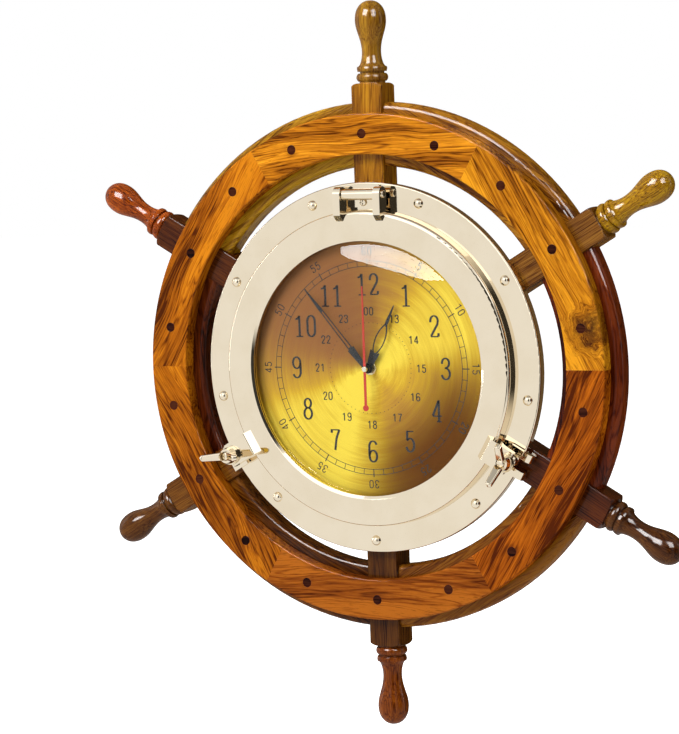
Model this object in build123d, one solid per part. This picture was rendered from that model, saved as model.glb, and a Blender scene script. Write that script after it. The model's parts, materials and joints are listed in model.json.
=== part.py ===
from build123d import *
import math
import os

# A wall clock built like a ship's wheel with a porthole in the middle.
#
# Every piece is drawn lying face up: x to the right, y to 12 o'clock, z out of the wall towards
# the viewer, with z = 0 on the wall and the wheel's axis at x = y = 0. stand_up() then turns
# each piece upright, so that +Z is up and the dial looks along -Y. Sizes are in millimetres.
# "Clock" angles are in degrees, clockwise from 12 o'clock as the viewer sees them.

# ---- driving dimensions -----------------------------------------------------------------------
SPOKE_COUNT = 6
SECTOR = 360 / SPOKE_COUNT
TIP_RADIUS = 305.0            # wheel axis to the end of a handle

FACING_INNER = 178.0          # front and back facing rings
FACING_OUTER = 212.0
FACING_THICK = 13.5
FELLOE_INNER = 168.0          # middle layer of the rim
FELLOE_OUTER = 221.0
FELLOE_THICK = 20.0
SPOKE_WIDE = 28.0
SPOKE_THICK = 25.0
HANDLE_LONG = 68.5            # turned part of a spoke
SPOKE_INNER_END = 62.0        # the spokes stop short of the movement

DOWEL_RADIUS = 4.0
DOWEL_STEP = 20.0             # degrees between dowels
FIT = 0.03                    # radial gap around a piece that is glued or driven in
RUNNING = 0.06                # radial gap around a shaft that turns

FLANGE_INNER = 118.0
FLANGE_OUTER = 155.0
FLANGE_THICK = 9.0
RIVET_CIRCLE = 145.0
RIVET_HEAD = 4.4
RIVET_SHANK = 2.0

DOOR_OPENING = 106.5          # radius of the clear glass
DOOR_OUTER = 132.0
DOOR_PROUD = 10.5             # door face above the flange face
LUG_PROUD = 5.5               # latch lugs and hinge arms above the door face
GLASS_RADIUS = 111.6
GLASS_THICK = 2.4
GLASS_RISE = 11.0             # crown of the dome above its rim

LATCH_CLOCKS = {"right": 120.0, "left": 240.0}
LATCH_RADIUS = 148.0          # wheel axis to a swing bolt's pivot pin
WING_CLOCKS = {"right": 197.0, "left": 268.0}   # which way each nut's first wing points
BOLT_RADIUS = 4.0
BOLT_LONG = 30.5
WING_LONG = 26.0              # along a wing, from the bolt's axis to its tip

HINGE_Y = 145.0               # height of the hinge pin above the wheel axis
HINGE_PIN_RADIUS = 2.0

DIAL_RADIUS = 117.0
DIAL_THICK = 0.8
MINUTE_LONG = 87.0
HOUR_LONG = 58.5
SECOND_LONG = 69.0
MINUTE_CLOCK = 320.0
HOUR_CLOCK = 26.0
SECOND_CLOCK = 0.0

MOVEMENT_SIDE = 56.0
MOVEMENT_THICK = 16.0

# ---- heights above the wall, worked out from the above ---------------------------------------
BACK_TOP = FACING_THICK
FELLOE_TOP = BACK_TOP + FELLOE_THICK
WHEEL_TOP = FELLOE_TOP + FACING_THICK
SPOKE_MID = WHEEL_TOP / 2
SPOKE_BOTTOM = SPOKE_MID - SPOKE_THICK / 2
SPOKE_TOP = SPOKE_MID + SPOKE_THICK / 2
FLANGE_TOP = SPOKE_TOP + FLANGE_THICK
DIAL_TOP = FLANGE_TOP
BOARD_TOP = DIAL_TOP - DIAL_THICK
DOOR_BOTTOM = FLANGE_TOP + 0.2
DOOR_TOP = FLANGE_TOP + DOOR_PROUD
LUG_TOP = DOOR_TOP + LUG_PROUD
MOVEMENT_TOP = SPOKE_TOP - 1.0
MOVEMENT_BOTTOM = MOVEMENT_TOP - MOVEMENT_THICK
BLOCK_END = TIP_RADIUS - HANDLE_LONG
PIVOT_Z = SPOKE_TOP + FLANGE_THICK / 2
LIP_BOTTOM = DOOR_TOP - 2.5


# ---- small helpers ----------------------------------------------------------------------------
def stand_up(shape):
    """Turn a piece drawn face up on the wall plane into the upright frame."""
    return Rot(90, 0, 0) * shape


def clock(angle):
    """The turn that carries 12 o'clock to a clock angle."""
    return Rot(0, 0, -angle)


def tube(outer, low, high, inner=0.0):
    """A round bar or tube on the wheel's axis between two heights."""
    middle = Pos(0, 0, (low + high) / 2)
    body = middle * Cylinder(outer, high - low)
    if inner:
        body -= middle * Cylinder(inner, high - low)
    return body


def block(x_low, x_high, y_low, y_high, low, high):
    """A box from its six limits."""
    centre = Pos((x_low + x_high) / 2, (y_low + y_high) / 2, (low + high) / 2)
    return centre * Box(x_high - x_low, y_high - y_low, high - low)


def turned(points):
    """Spin a closed outline of (radius, height) points around the wheel's axis."""
    outline = Polyline([(radius, 0, height) for radius, height in points], close=True)
    return revolve(make_face(outline), Axis.Z)


def rounded_ring(inner, outer, low, high, soft_inner, soft_outer):
    """A ring of square section with its four long edges rounded."""
    ring = tube(outer, low, high, inner)
    edges = ring.edges().filter_by(GeomType.CIRCLE)
    outer_edges = [edge for edge in edges if edge.radius > (inner + outer) / 2]
    ring = fillet(outer_edges, soft_outer)
    edges = ring.edges().filter_by(GeomType.CIRCLE)
    inner_edges = [edge for edge in edges if abs(edge.radius - inner) < 0.01]
    return fillet(inner_edges, soft_inner)


def wedge(from_clock, to_clock, reach):
    """A tall slice of the wheel between two clock angles."""
    corners = [(0, 0)]
    for angle in (from_clock, (from_clock + to_clock) / 2, to_clock):
        turn = math.radians(angle)
        corners.append((reach * math.sin(turn), reach * math.cos(turn)))
    face = make_face(Polyline(corners, close=True))
    return extrude(face, WHEEL_TOP + 2)


def side_profile(points, x_low, x_high):
    """Extrude a closed outline of (y, z) points across x."""
    outline = Polyline([(x_low, y, z) for y, z in points], close=True)
    return extrude(make_face(outline), amount=x_high - x_low, dir=(1, 0, 0))


def largest(shape):
    """The main solid of a shape, free of slivers."""
    return max(shape.solids(), key=lambda solid: solid.volume)


# ---- wheel --------------------------------------------------------------------------------
PLACE_NAMES = ["top", "upper_right", "lower_right", "bottom", "lower_left", "upper_left"]
DOWEL_CIRCLE = (FACING_INNER + FACING_OUTER) / 2


def dowel(radius):
    """One dowel through all three layers, its ends flush with the facings."""
    return Pos(0, DOWEL_CIRCLE, WHEEL_TOP / 2) * Cylinder(radius, WHEEL_TOP)


def dowel_holes():
    """The drilling for all dowels."""
    count = round(360 / DOWEL_STEP)
    return [clock(DOWEL_STEP * index) * dowel(DOWEL_RADIUS + FIT) for index in range(count)]


def wheel_dowels():
    """All dowels, each a separate solid."""
    count = round(360 / DOWEL_STEP)
    return Compound([clock(DOWEL_STEP * index) * dowel(DOWEL_RADIUS) for index in range(count)])


def facing(low, high, notch_low, notch_high, angle):
    """A facing segment centred on a spoke, mitred at both ends and notched over the spoke."""
    ring = rounded_ring(FACING_INNER, FACING_OUTER, low, high, 1.4, 1.4)
    half = SPOKE_WIDE / 2 + FIT
    ring -= block(-half, half, FACING_INNER - 5, FACING_OUTER + 5, notch_low, notch_high)
    segment = ring & wedge(-SECTOR / 2, SECTOR / 2, FACING_OUTER * 2)
    for side in (-1, 0, 1):
        segment -= clock(side * DOWEL_STEP) * dowel(DOWEL_RADIUS + FIT)
    return clock(angle) * largest(segment)


def front_facing(index):
    """One of the six segments that show on the front of the rim."""
    return facing(FELLOE_TOP, WHEEL_TOP, FELLOE_TOP, SPOKE_TOP, SECTOR * index)


def back_facing_segments():
    """The six segments on the back of the rim."""
    segments = []
    for index in range(SPOKE_COUNT):
        segments.append(facing(0, BACK_TOP, SPOKE_BOTTOM, BACK_TOP, SECTOR * index))
    return Compound(segments)


def felloe_segments():
    """The six middle pieces of the rim, each filling the room between two spokes."""
    ring = rounded_ring(FELLOE_INNER, FELLOE_OUTER, BACK_TOP, FELLOE_TOP, 4.0, 6.0)
    half = SPOKE_WIDE / 2 + FIT
    for hole in dowel_holes():
        ring -= hole
    for index in range(SPOKE_COUNT // 2):
        ring -= clock(SECTOR * index) * block(-half, half, -300, 300, 0, WHEEL_TOP)
    return Compound(list(ring.solids()))


def handle_outline():
    """Half the section of a turned handle: x is the radius, y the distance from the axis."""
    bulb = [(13.0, 16.5), (11.6, 25.0), (9.0, 34.0), (8.0, 43.0), (9.1, 50.5), (11.4, 54.6)]
    points = [(radius, TIP_RADIUS - from_tip) for radius, from_tip in bulb]
    nose = Spline((0, TIP_RADIUS), (7.6, TIP_RADIUS - 2.6), points[0], tangents=[(1, 0), (0, -1)])
    waist = Spline(*points, tangents=[(0, -1), (0.75, -0.66)])
    collar_top = TIP_RADIUS - 54.6
    collar_low = collar_top - 4.2
    bead_top = collar_low - 1.6
    bead_low = bead_top - 6.6
    start = (0, BLOCK_END - 4)
    collar = [points[-1], (12.4, collar_top - 0.2), (12.7, collar_top - 1.8), (12.2, collar_low)]
    groove = [(10.2, collar_low), (10.2, bead_top), (11.6, bead_top)]
    bead = ThreePointArc((11.6, bead_top), (13.3, (bead_top + bead_low) / 2), (11.6, bead_low))
    foot = [(11.6, bead_low), (10.8, bead_low), (10.8, BLOCK_END - 4), start]
    edges = [nose, waist, Polyline(collar + groove), bead, Polyline(foot), Line(start, (0, TIP_RADIUS))]
    return make_face(edges)


def shoulder_block():
    """The square stock of a spoke, its outer end turned to a round shoulder."""
    half = SPOKE_WIDE / 2
    stock = block(-half, half, SPOKE_INNER_END, BLOCK_END, SPOKE_BOTTOM, SPOKE_TOP)
    stock = chamfer(stock.edges().filter_by(Axis.Y), 0.7)
    corner = 20.0
    shoulder = 13.4
    outline = [
        Polyline((0, SPOKE_INNER_END), (corner, SPOKE_INNER_END), (corner, BLOCK_END - 7)),
        ThreePointArc((corner, BLOCK_END - 7), (18.2, BLOCK_END - 2.4), (shoulder, BLOCK_END)),
        Polyline((shoulder, BLOCK_END), (0, BLOCK_END), (0, SPOKE_INNER_END)),
    ]
    return stock & (Pos(0, 0, SPOKE_MID) * revolve(make_face(outline), Axis.Y))


def spoke(index):
    """One spoke: square through the rim, turned outside it."""
    body = shoulder_block() + Pos(0, 0, SPOKE_MID) * revolve(handle_outline(), Axis.Y)
    body -= dowel(DOWEL_RADIUS + FIT)
    screw = Pos(0, BOARD_SCREW_CIRCLE, 0)
    body -= screw * tube(BOARD_SCREW_HEAD + 0.3, SPOKE_BOTTOM - 1, BOARD_SCREW_SEAT)
    body -= screw * tube(RIVET_SHANK + FIT, SPOKE_BOTTOM, SPOKE_TOP + 1)
    if SECTOR * index in FLANGE_SCREW_CLOCKS:
        body -= Pos(0, RIVET_CIRCLE, 0) * tube(RIVET_SHANK + FIT, FLANGE_SCREW_END, SPOKE_TOP + 1)
    if index == 0:
        body -= hanger_recess()
        for hole in hanger_screw_spots():
            body -= hole * tube(HANGER_SCREW_RADIUS + FIT, 0, HANGER_SCREW_END)
    return clock(SECTOR * index) * largest(body)


# ---- wall hanger --------------------------------------------------------------------------
HANGER_Y = 150.0
HANGER_THICK = 1.6
HANGER_WIDE = 20.0
HANGER_LONG = 44.0
HANGER_BOTTOM = SPOKE_BOTTOM - HANGER_THICK
KEYHOLE_RADIUS = 5.0
KEYHOLE_SLOT = 2.2
HANGER_SCREW_RADIUS = 1.5
HANGER_SCREW_END = SPOKE_BOTTOM + 10.0


def hanger_recess():
    """Room in the spoke for the head of the wall screw behind the keyhole plate."""
    low = Pos(0, HANGER_Y, 0) * tube(KEYHOLE_RADIUS + 1.0, SPOKE_BOTTOM - 1, SPOKE_BOTTOM + 6)
    high = Pos(0, HANGER_Y + 9, 0) * tube(KEYHOLE_RADIUS + 1.0, SPOKE_BOTTOM - 1, SPOKE_BOTTOM + 6)
    half = KEYHOLE_RADIUS + 1.0
    middle = block(-half, half, HANGER_Y, HANGER_Y + 9, SPOKE_BOTTOM - 1, SPOKE_BOTTOM + 6)
    return low + high + middle


def hanger_screw_spots():
    """Where the plate's two screws stand."""
    return [Pos(0, HANGER_Y + shift, 0) for shift in (-15.0, 21.0)]


def hanger_plate():
    """A plate with a keyhole: a round hole for the screw head and a slot above it."""
    middle = HANGER_Y + 3.0
    plate = block(-HANGER_WIDE / 2, HANGER_WIDE / 2, middle - HANGER_LONG / 2,
                  middle + HANGER_LONG / 2, HANGER_BOTTOM, SPOKE_BOTTOM)
    plate = fillet(plate.edges().filter_by(Axis.Z), 4.0)
    plate -= Pos(0, HANGER_Y, 0) * tube(KEYHOLE_RADIUS, 0, SPOKE_TOP)
    plate -= block(-KEYHOLE_SLOT, KEYHOLE_SLOT, HANGER_Y, HANGER_Y + 10, 0, SPOKE_TOP)
    plate -= Pos(0, HANGER_Y + 10, 0) * tube(KEYHOLE_SLOT, 0, SPOKE_TOP)
    for spot in hanger_screw_spots():
        plate -= spot * tube(HANGER_SCREW_RADIUS + FIT, 0, SPOKE_TOP)
    return plate


def hanger_screws():
    """Two round-head wood screws."""
    screws = []
    for spot in hanger_screw_spots():
        head = tube(3.0, HANGER_BOTTOM - 1.6, HANGER_BOTTOM)
        head = fillet(head.edges().sort_by(Axis.Z)[0], 1.2)
        screws.append(spot * (head + tube(HANGER_SCREW_RADIUS, HANGER_BOTTOM, HANGER_SCREW_END)))
    return Compound(screws)


# ---- porthole flange -----------------------------------------------------------------------
FLANGE_SCREW_CLOCKS = (60.0, 180.0, 300.0)
RIVET_CLOCKS = (20.0, 100.0, 140.0, 220.0, 260.0, 340.0)
FLANGE_SCREW_END = SPOKE_TOP - 14.0
SLOT_HALF = 4.7               # half the slot that an eye bolt swings in
SLOT_INNER = LATCH_RADIUS - 6.5
EAR_HALF = 11.5
EAR_OUTER = 162.5
EAR_PROUD = 2.0
PIVOT_PIN_RADIUS = 2.0


def pivot_pin(radius):
    """The pin across the ears that a swing bolt turns on."""
    return Pos(0, LATCH_RADIUS, PIVOT_Z) * Rot(0, 90, 0) * Cylinder(radius, 2 * EAR_HALF)


def latch_ears():
    """The boss that stands out of the flange's edge for one latch."""
    boss = block(-EAR_HALF, EAR_HALF, LATCH_RADIUS - 7, EAR_OUTER,
                 SPOKE_TOP, FLANGE_TOP + EAR_PROUD)
    corners = boss.edges().filter_by(Axis.X).group_by(Axis.Y)[-1]
    boss = fillet(corners, 4.5)
    corners = boss.edges().filter_by(Axis.X).group_by(Axis.Y)[0].sort_by(Axis.Z)[-1]
    return chamfer(corners, 1.8)


def flange():
    """The wall ring of the porthole, slotted for two swing bolts."""
    ring = rounded_ring(FLANGE_INNER, FLANGE_OUTER, SPOKE_TOP, FLANGE_TOP, 0.5, 1.5)
    for angle in LATCH_CLOCKS.values():
        ring += clock(angle) * latch_ears()
        slot = block(-SLOT_HALF, SLOT_HALF, SLOT_INNER, EAR_OUTER + 5, SPOKE_TOP - 1, FLANGE_TOP + 5)
        ring -= clock(angle) * slot
        ring -= clock(angle) * pivot_pin(PIVOT_PIN_RADIUS + FIT)
    for angle in FLANGE_SCREW_CLOCKS + RIVET_CLOCKS:
        hole = Pos(0, RIVET_CIRCLE, 0) * tube(RIVET_SHANK + FIT, 0, WHEEL_TOP)
        ring -= clock(angle) * hole
    ring -= Pos(0, HINGE_SCREW_Y, 0) * tube(HINGE_SCREW_RADIUS + FIT, 0, WHEEL_TOP)
    return largest(ring)


def dome_fastener(end):
    """A dome-headed rivet or screw standing on the flange, its shank down to a given height."""
    head_high = 3.2
    sphere_radius = (RIVET_HEAD ** 2 + head_high ** 2) / (2 * head_high)
    dome = Pos(0, 0, FLANGE_TOP + head_high - sphere_radius) * Sphere(sphere_radius)
    dome &= tube(RIVET_HEAD, FLANGE_TOP, FLANGE_TOP + head_high)
    return Pos(0, RIVET_CIRCLE, 0) * (dome + tube(RIVET_SHANK, end, FLANGE_TOP))


def flange_rivets():
    """Six rivets between the spokes, flush behind the flange."""
    return Compound([clock(angle) * dome_fastener(SPOKE_TOP) for angle in RIVET_CLOCKS])


def flange_screws():
    """Three screws of the same look that hold the flange on the spokes."""
    return Compound([clock(angle) * dome_fastener(FLANGE_SCREW_END + 0.5)
                     for angle in FLANGE_SCREW_CLOCKS])


def bolt_pivot_pins():
    """The two pins across the ears."""
    return Compound([clock(angle) * pivot_pin(PIVOT_PIN_RADIUS) for angle in LATCH_CLOCKS.values()])


# ---- hinge ------------------------------------------------------------------------------------
ARM_THICK = 6.5
ARM_OUTER = 21.8
ARM_ROUND = 6.5
HINGE_Z = LUG_TOP - ARM_ROUND
BARREL_RADIUS = 4.6
BARREL_HALF = ARM_OUTER - ARM_THICK - 0.4
HINGE_SCREW_Y = 138.2
HINGE_SCREW_RADIUS = 1.75
HINGE_PLATE_THICK = 2.2


def hinge_axis_bar(radius, half):
    """A bar on the hinge's axis."""
    return Pos(0, HINGE_Y, HINGE_Z) * Rot(0, 90, 0) * Cylinder(radius, 2 * half)


def hinge_bracket():
    """The fixed half of the hinge: a foot on the flange, a web and the barrel."""
    plate_top = FLANGE_TOP + HINGE_PLATE_THICK
    plate = block(-BARREL_HALF, BARREL_HALF, 134.2, 153.0, FLANGE_TOP, plate_top)
    plate = fillet(plate.edges().filter_by(Axis.Z), 1.5)
    web = block(-BARREL_HALF, BARREL_HALF, HINGE_Y - 2.6, HINGE_Y + 4.4, plate_top - 0.1, HINGE_Z)
    body = plate + web + hinge_axis_bar(BARREL_RADIUS, BARREL_HALF)
    body -= hinge_axis_bar(HINGE_PIN_RADIUS + RUNNING, BARREL_HALF)
    body -= Pos(0, HINGE_SCREW_Y, 0) * tube(HINGE_SCREW_RADIUS + FIT, 0, plate_top + 1)
    return largest(body)


def hinge_screw():
    """The cross-head screw through the hinge's foot into the flange."""
    seat = FLANGE_TOP + HINGE_PLATE_THICK
    head = Pos(0, HINGE_SCREW_Y, 0) * tube(3.1, seat, seat + 1.8)
    head = fillet(head.edges().sort_by(Axis.Z)[-1], 1.2)
    for width, length in ((0.45, 2.0), (2.0, 0.45)):
        head -= block(-width, width, HINGE_SCREW_Y - length, HINGE_SCREW_Y + length,
                      seat + 0.9, seat + 2)
    return head + Pos(0, HINGE_SCREW_Y, 0) * tube(HINGE_SCREW_RADIUS, SPOKE_TOP + 0.5, seat)


def hinge_pin():
    """The pin that the door swings on, with a small rounded head at each end."""
    half = ARM_OUTER + 1.4
    pin = hinge_axis_bar(HINGE_PIN_RADIUS, ARM_OUTER + 0.1)
    for side in (-1, 1):
        knob = Pos(side * (half - 0.65), HINGE_Y, HINGE_Z) * Rot(0, 90, 0) * Cylinder(3.1, 1.3)
        pin += fillet(knob.edges().sort_by(Axis.X)[-1 if side > 0 else 0], 0.9)
    return pin


# ---- door -------------------------------------------------------------------------------------
GLASS_RIM_TOP = LIP_BOTTOM - 0.6
SEAT_RADIUS = 112.0
GASKET_INNER = 120.0
GASKET_OUTER = 125.0
GASKET_DEEP = 2.6


def door_ring():
    """The plain ring of the door, bored for the glass and grooved for the gasket."""
    section = [
        (DOOR_OPENING, LIP_BOTTOM), (DOOR_OPENING, DOOR_TOP - 1.4), (DOOR_OPENING + 2.6, DOOR_TOP),
        (DOOR_OUTER - 0.5, DOOR_TOP), (DOOR_OUTER + 0.6, DOOR_BOTTOM),
        (GASKET_OUTER, DOOR_BOTTOM), (GASKET_OUTER, DOOR_BOTTOM + GASKET_DEEP),
        (GASKET_INNER, DOOR_BOTTOM + GASKET_DEEP), (GASKET_INNER, DOOR_BOTTOM),
        (SEAT_RADIUS, DOOR_BOTTOM), (SEAT_RADIUS, LIP_BOTTOM),
    ]
    ring = turned(section)
    rim = [edge for edge in ring.edges().filter_by(GeomType.CIRCLE)
           if edge.radius > DOOR_OUTER - 1 and edge.center().Z > DOOR_TOP - 0.1]
    ring = fillet(rim, 3.4)
    bevel = [edge for edge in ring.edges().filter_by(GeomType.CIRCLE)
             if abs(edge.radius - DOOR_OPENING - 2.6) < 0.01]
    return fillet(bevel, 1.8)


def latch_lug():
    """A forked lug: it ramps up from the door's face and reaches out over the flange."""
    sole = DOOR_TOP - 0.5
    section = [
        (122.5, sole), (128.5, LUG_TOP), (151.0, LUG_TOP), (151.0, DOOR_TOP), (139.0, DOOR_TOP - 1.2),
        (131.5, DOOR_BOTTOM + 3.0), (127.0, DOOR_BOTTOM + 3.0), (127.0, sole),
    ]
    lug = side_profile(section, -10.0, 10.0)
    lug = fillet(lug.edges().filter_by(Axis.X).group_by(Axis.Y)[-1], 1.6)
    crest = lug.edges().filter_by(Axis.X).group_by(Axis.Z)[-1].sort_by(Axis.Y)[0]
    lug = fillet(crest, 2.0)
    slot = block(-BOLT_RADIUS - 0.6, BOLT_RADIUS + 0.6, LATCH_RADIUS - 1, 160, 0, LUG_TOP + 5)
    round_end = Pos(0, LATCH_RADIUS - 1, 0) * tube(BOLT_RADIUS + 0.6, 0, LUG_TOP + 5)
    return lug - slot - round_end


def hinge_arms():
    """The two arms that carry the door from the hinge pin."""
    low = HINGE_Z - ARM_ROUND
    section = [
        (122.5, DOOR_TOP - 0.5), (128.5, LUG_TOP), (HINGE_Y, LUG_TOP), (HINGE_Y, low),
        (133.5, low), (131.0, low + 2.0), (127.0, low + 2.0), (127.0, DOOR_TOP - 0.5),
    ]
    arms = []
    for side in (-1, 1):
        inner = side * (ARM_OUTER - ARM_THICK)
        outer = side * ARM_OUTER
        x_low, x_high = min(inner, outer), max(inner, outer)
        arm = side_profile(section, x_low, x_high)
        crest = arm.edges().filter_by(Axis.X).group_by(Axis.Z)[-1].sort_by(Axis.Y)[0]
        arm = fillet(crest, 2.0)
        eye = Pos((x_low + x_high) / 2, HINGE_Y, HINGE_Z) * Rot(0, 90, 0)
        arm += eye * Cylinder(ARM_ROUND, ARM_THICK)
        arms.append(arm)
    return arms


def door_frame():
    """The door: ring, hinge arms and forked lugs in one casting."""
    frame = door_ring()
    for arm in hinge_arms():
        frame += arm
    for angle in LATCH_CLOCKS.values():
        frame += clock(angle) * latch_lug()
    frame -= hinge_axis_bar(HINGE_PIN_RADIUS + FIT, ARM_OUTER + 1)
    return largest(frame)


def dome(radius, rim_height, rise):
    """The ball whose cap of a given rise stands on a rim of a given radius."""
    ball = (radius ** 2 + rise ** 2) / (2 * rise)
    return Pos(0, 0, rim_height + rise - ball) * Sphere(ball)


def door_glass():
    """A domed glass with a flat rim that sits under the door's lip."""
    low = GLASS_RIM_TOP - GLASS_THICK
    dome_foot = DOOR_OPENING - 0.5
    cap = dome(dome_foot, GLASS_RIM_TOP, GLASS_RISE)
    cap &= tube(dome_foot, GLASS_RIM_TOP - 0.01, WHEEL_TOP * 2)
    body = tube(GLASS_RADIUS, low, GLASS_RIM_TOP) + cap
    hollow = dome(dome_foot - GLASS_THICK, low, GLASS_RISE)
    hollow &= tube(dome_foot - GLASS_THICK, low - 0.01, WHEEL_TOP * 2)
    return largest(body - hollow)


def glass_seal():
    """The thin rubber ring between the lip and the glass."""
    return tube(GLASS_RADIUS, GLASS_RIM_TOP, LIP_BOTTOM, DOOR_OPENING + 0.4)


def glass_retainer():
    """The ring that holds the glass in from behind."""
    high = GLASS_RIM_TOP - GLASS_THICK
    return tube(SEAT_RADIUS - FIT, high - 2.6, high, 107.5)


def door_gasket():
    """The rubber ring in the door's groove, resting on the flange."""
    low = FLANGE_TOP
    return tube(GASKET_OUTER - FIT, low, DOOR_BOTTOM + GASKET_DEEP, GASKET_INNER + FIT)


# ---- latches ----------------------------------------------------------------------------------
EYE_RADIUS = FLANGE_THICK / 2 - 0.3
EYE_HALF = SLOT_HALF - 0.25
WASHER_LOW = LUG_TOP + 0.3
WASHER_THICK = 1.2
WASHER_RADIUS = 8.2
NUT_LOW = WASHER_LOW + WASHER_THICK + RUNNING
NUT_HIGH = 7.5
NUT_FOOT = 2.4                # plain collar under the wings
WING_LIFT = 43.0              # degrees a wing rises towards its tip
BOLT_TIP = PIVOT_Z + BOLT_LONG


def at_latch(side, shape):
    """Carry a piece drawn on the z axis to a latch's bolt."""
    return clock(LATCH_CLOCKS[side]) * (Pos(0, LATCH_RADIUS, 0) * shape)


def swing_bolt(side):
    """An eye bolt that turns on its pivot pin; its thread is drawn plain."""
    eye = Pos(0, 0, PIVOT_Z) * Rot(0, 90, 0) * Cylinder(EYE_RADIUS, 2 * EYE_HALF)
    shank = tube(BOLT_RADIUS, PIVOT_Z, BOLT_TIP)
    shank = chamfer(shank.edges().sort_by(Axis.Z)[-1], 0.8)
    body = eye + shank
    body -= Pos(0, 0, PIVOT_Z) * Rot(0, 90, 0) * Cylinder(PIVOT_PIN_RADIUS + RUNNING, 4 * EYE_HALF)
    return at_latch(side, largest(body))


def latch_washer(side):
    """The loose washer under a wing nut."""
    top = WASHER_LOW + WASHER_THICK
    return at_latch(side, tube(WASHER_RADIUS, WASHER_LOW, top, BOLT_RADIUS + RUNNING))


def wing():
    """One tapered wing with a round end, rising steeply towards its tip."""
    tip_round = 2.8
    centre = WING_LONG - tip_round
    root = 5.5
    root_half = 3.6
    outline = [
        Line((root, -root_half), (root, root_half)),
        Line((root, root_half), (centre, tip_round)),
        ThreePointArc((centre, tip_round), (WING_LONG, 0), (centre, -tip_round)),
        Line((centre, -tip_round), (root, -root_half)),
    ]
    blade = extrude(make_face(outline), 5.0)
    flats = blade.faces().sort_by(Axis.Z)
    blade = fillet(flats[-1].edges() + flats[0].edges(), 1.3)
    return Pos(0, 0, NUT_LOW + NUT_FOOT) * Rot(0, -WING_LIFT, 0) * blade


def wing_nut(side):
    """A wing nut with two wings on a tapered boss."""
    foot = tube(7.6, NUT_LOW, NUT_LOW + NUT_FOOT)
    standing = (Align.CENTER, Align.CENTER, Align.MIN)
    boss = Cone(7.2, 6.0, NUT_HIGH - NUT_FOOT, align=standing)
    body = foot + Pos(0, 0, NUT_LOW + NUT_FOOT) * boss
    for turn in (0, 180):
        body += Rot(0, 0, turn) * wing()
    body -= tube(BOLT_RADIUS + RUNNING, 0, BOLT_TIP + 10)
    # a wing is drawn along +x, which is 90 degrees on the clock
    facing_turn = WING_CLOCKS[side] - 90 - LATCH_CLOCKS[side]
    return at_latch(side, clock(facing_turn) * largest(body))


# ---- dial and hands ---------------------------------------------------------------------------
BOARD_SCREW_CIRCLE = 92.0
BOARD_SCREW_HEAD = 4.0
BOARD_SCREW_SEAT = SPOKE_BOTTOM + 9.0
BOARD_SCREW_END = SPOKE_TOP + 6.0
BUSHING_RADIUS = 4.0
HOUR_TUBE = 2.5
MINUTE_TUBE = 1.5
SECOND_SHAFT = 0.65
HOUR_HAND_Z = DIAL_TOP + 3.6
MINUTE_HAND_Z = DIAL_TOP + 7.2
SECOND_HAND_Z = DIAL_TOP + 10.2
HAND_THICK = 0.5


def dial_board():
    """The round wooden board that fills the flange and carries the dial."""
    board = tube(FLANGE_INNER - 0.5, SPOKE_TOP, BOARD_TOP, BUSHING_RADIUS + 0.3)
    for index in range(SPOKE_COUNT):
        hole = Pos(0, BOARD_SCREW_CIRCLE, 0) * tube(RIVET_SHANK + FIT, SPOKE_TOP - 1, BOARD_SCREW_END)
        board -= clock(SECTOR * index) * hole
    return board


def board_screws():
    """Six wood screws from behind, through the spokes into the dial board."""
    head = tube(BOARD_SCREW_HEAD, BOARD_SCREW_SEAT - 2.0, BOARD_SCREW_SEAT)
    screw = head + tube(RIVET_SHANK, BOARD_SCREW_SEAT, BOARD_SCREW_END - 0.3)
    return Compound([clock(SECTOR * index) * (Pos(0, BOARD_SCREW_CIRCLE, 0) * screw)
                     for index in range(SPOKE_COUNT)])


def dial_plate():
    """The printed brass dial."""
    return tube(DIAL_RADIUS, BOARD_TOP, DIAL_TOP, BUSHING_RADIUS + 0.3)


def mirrored(right_side):
    """Close an outline from the points of its right side, from the foot to the tip."""
    left_side = [(-x, y) for x, y in reversed(right_side) if x > 0]
    return make_face(Polyline(right_side + left_side, close=True))


def hub(radius, bore, low, high):
    """The round boss of a hand."""
    return tube(radius, low, high, bore)


def minute_hand():
    """A spear on two thin rails that stand on a solid wedge."""
    blade = mirrored([(1.8, 0), (3.4, 22), (2.0, 22), (1.5, 62), (1.6, 66), (0.35, MINUTE_LONG)])
    window = mirrored([(1.15, 23.2), (0.75, 62.0)])
    plate = Pos(0, 0, MINUTE_HAND_Z) * extrude(blade - window, HAND_THICK)
    body = plate + hub(3.2, 0, MINUTE_HAND_Z - 0.3, MINUTE_HAND_Z + 1.2)
    body -= tube(MINUTE_TUBE + FIT, 0, MINUTE_HAND_Z + 0.9)
    body -= tube(SECOND_SHAFT + 0.3, 0, MINUTE_HAND_Z + 2)
    return clock(MINUTE_CLOCK) * largest(body)


def leaf(half_width, foot, top):
    """A leaf outline between two heights, drawn with two arcs."""
    middle = foot + (top - foot) * 0.4
    right = ThreePointArc((0.9, foot), (half_width, middle), (0.3, top))
    left = ThreePointArc((-0.3, top), (-half_width, middle), (-0.9, foot))
    return make_face([right, Line((0.3, top), (-0.3, top)), left, Line((-0.9, foot), (0.9, foot))])


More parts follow.
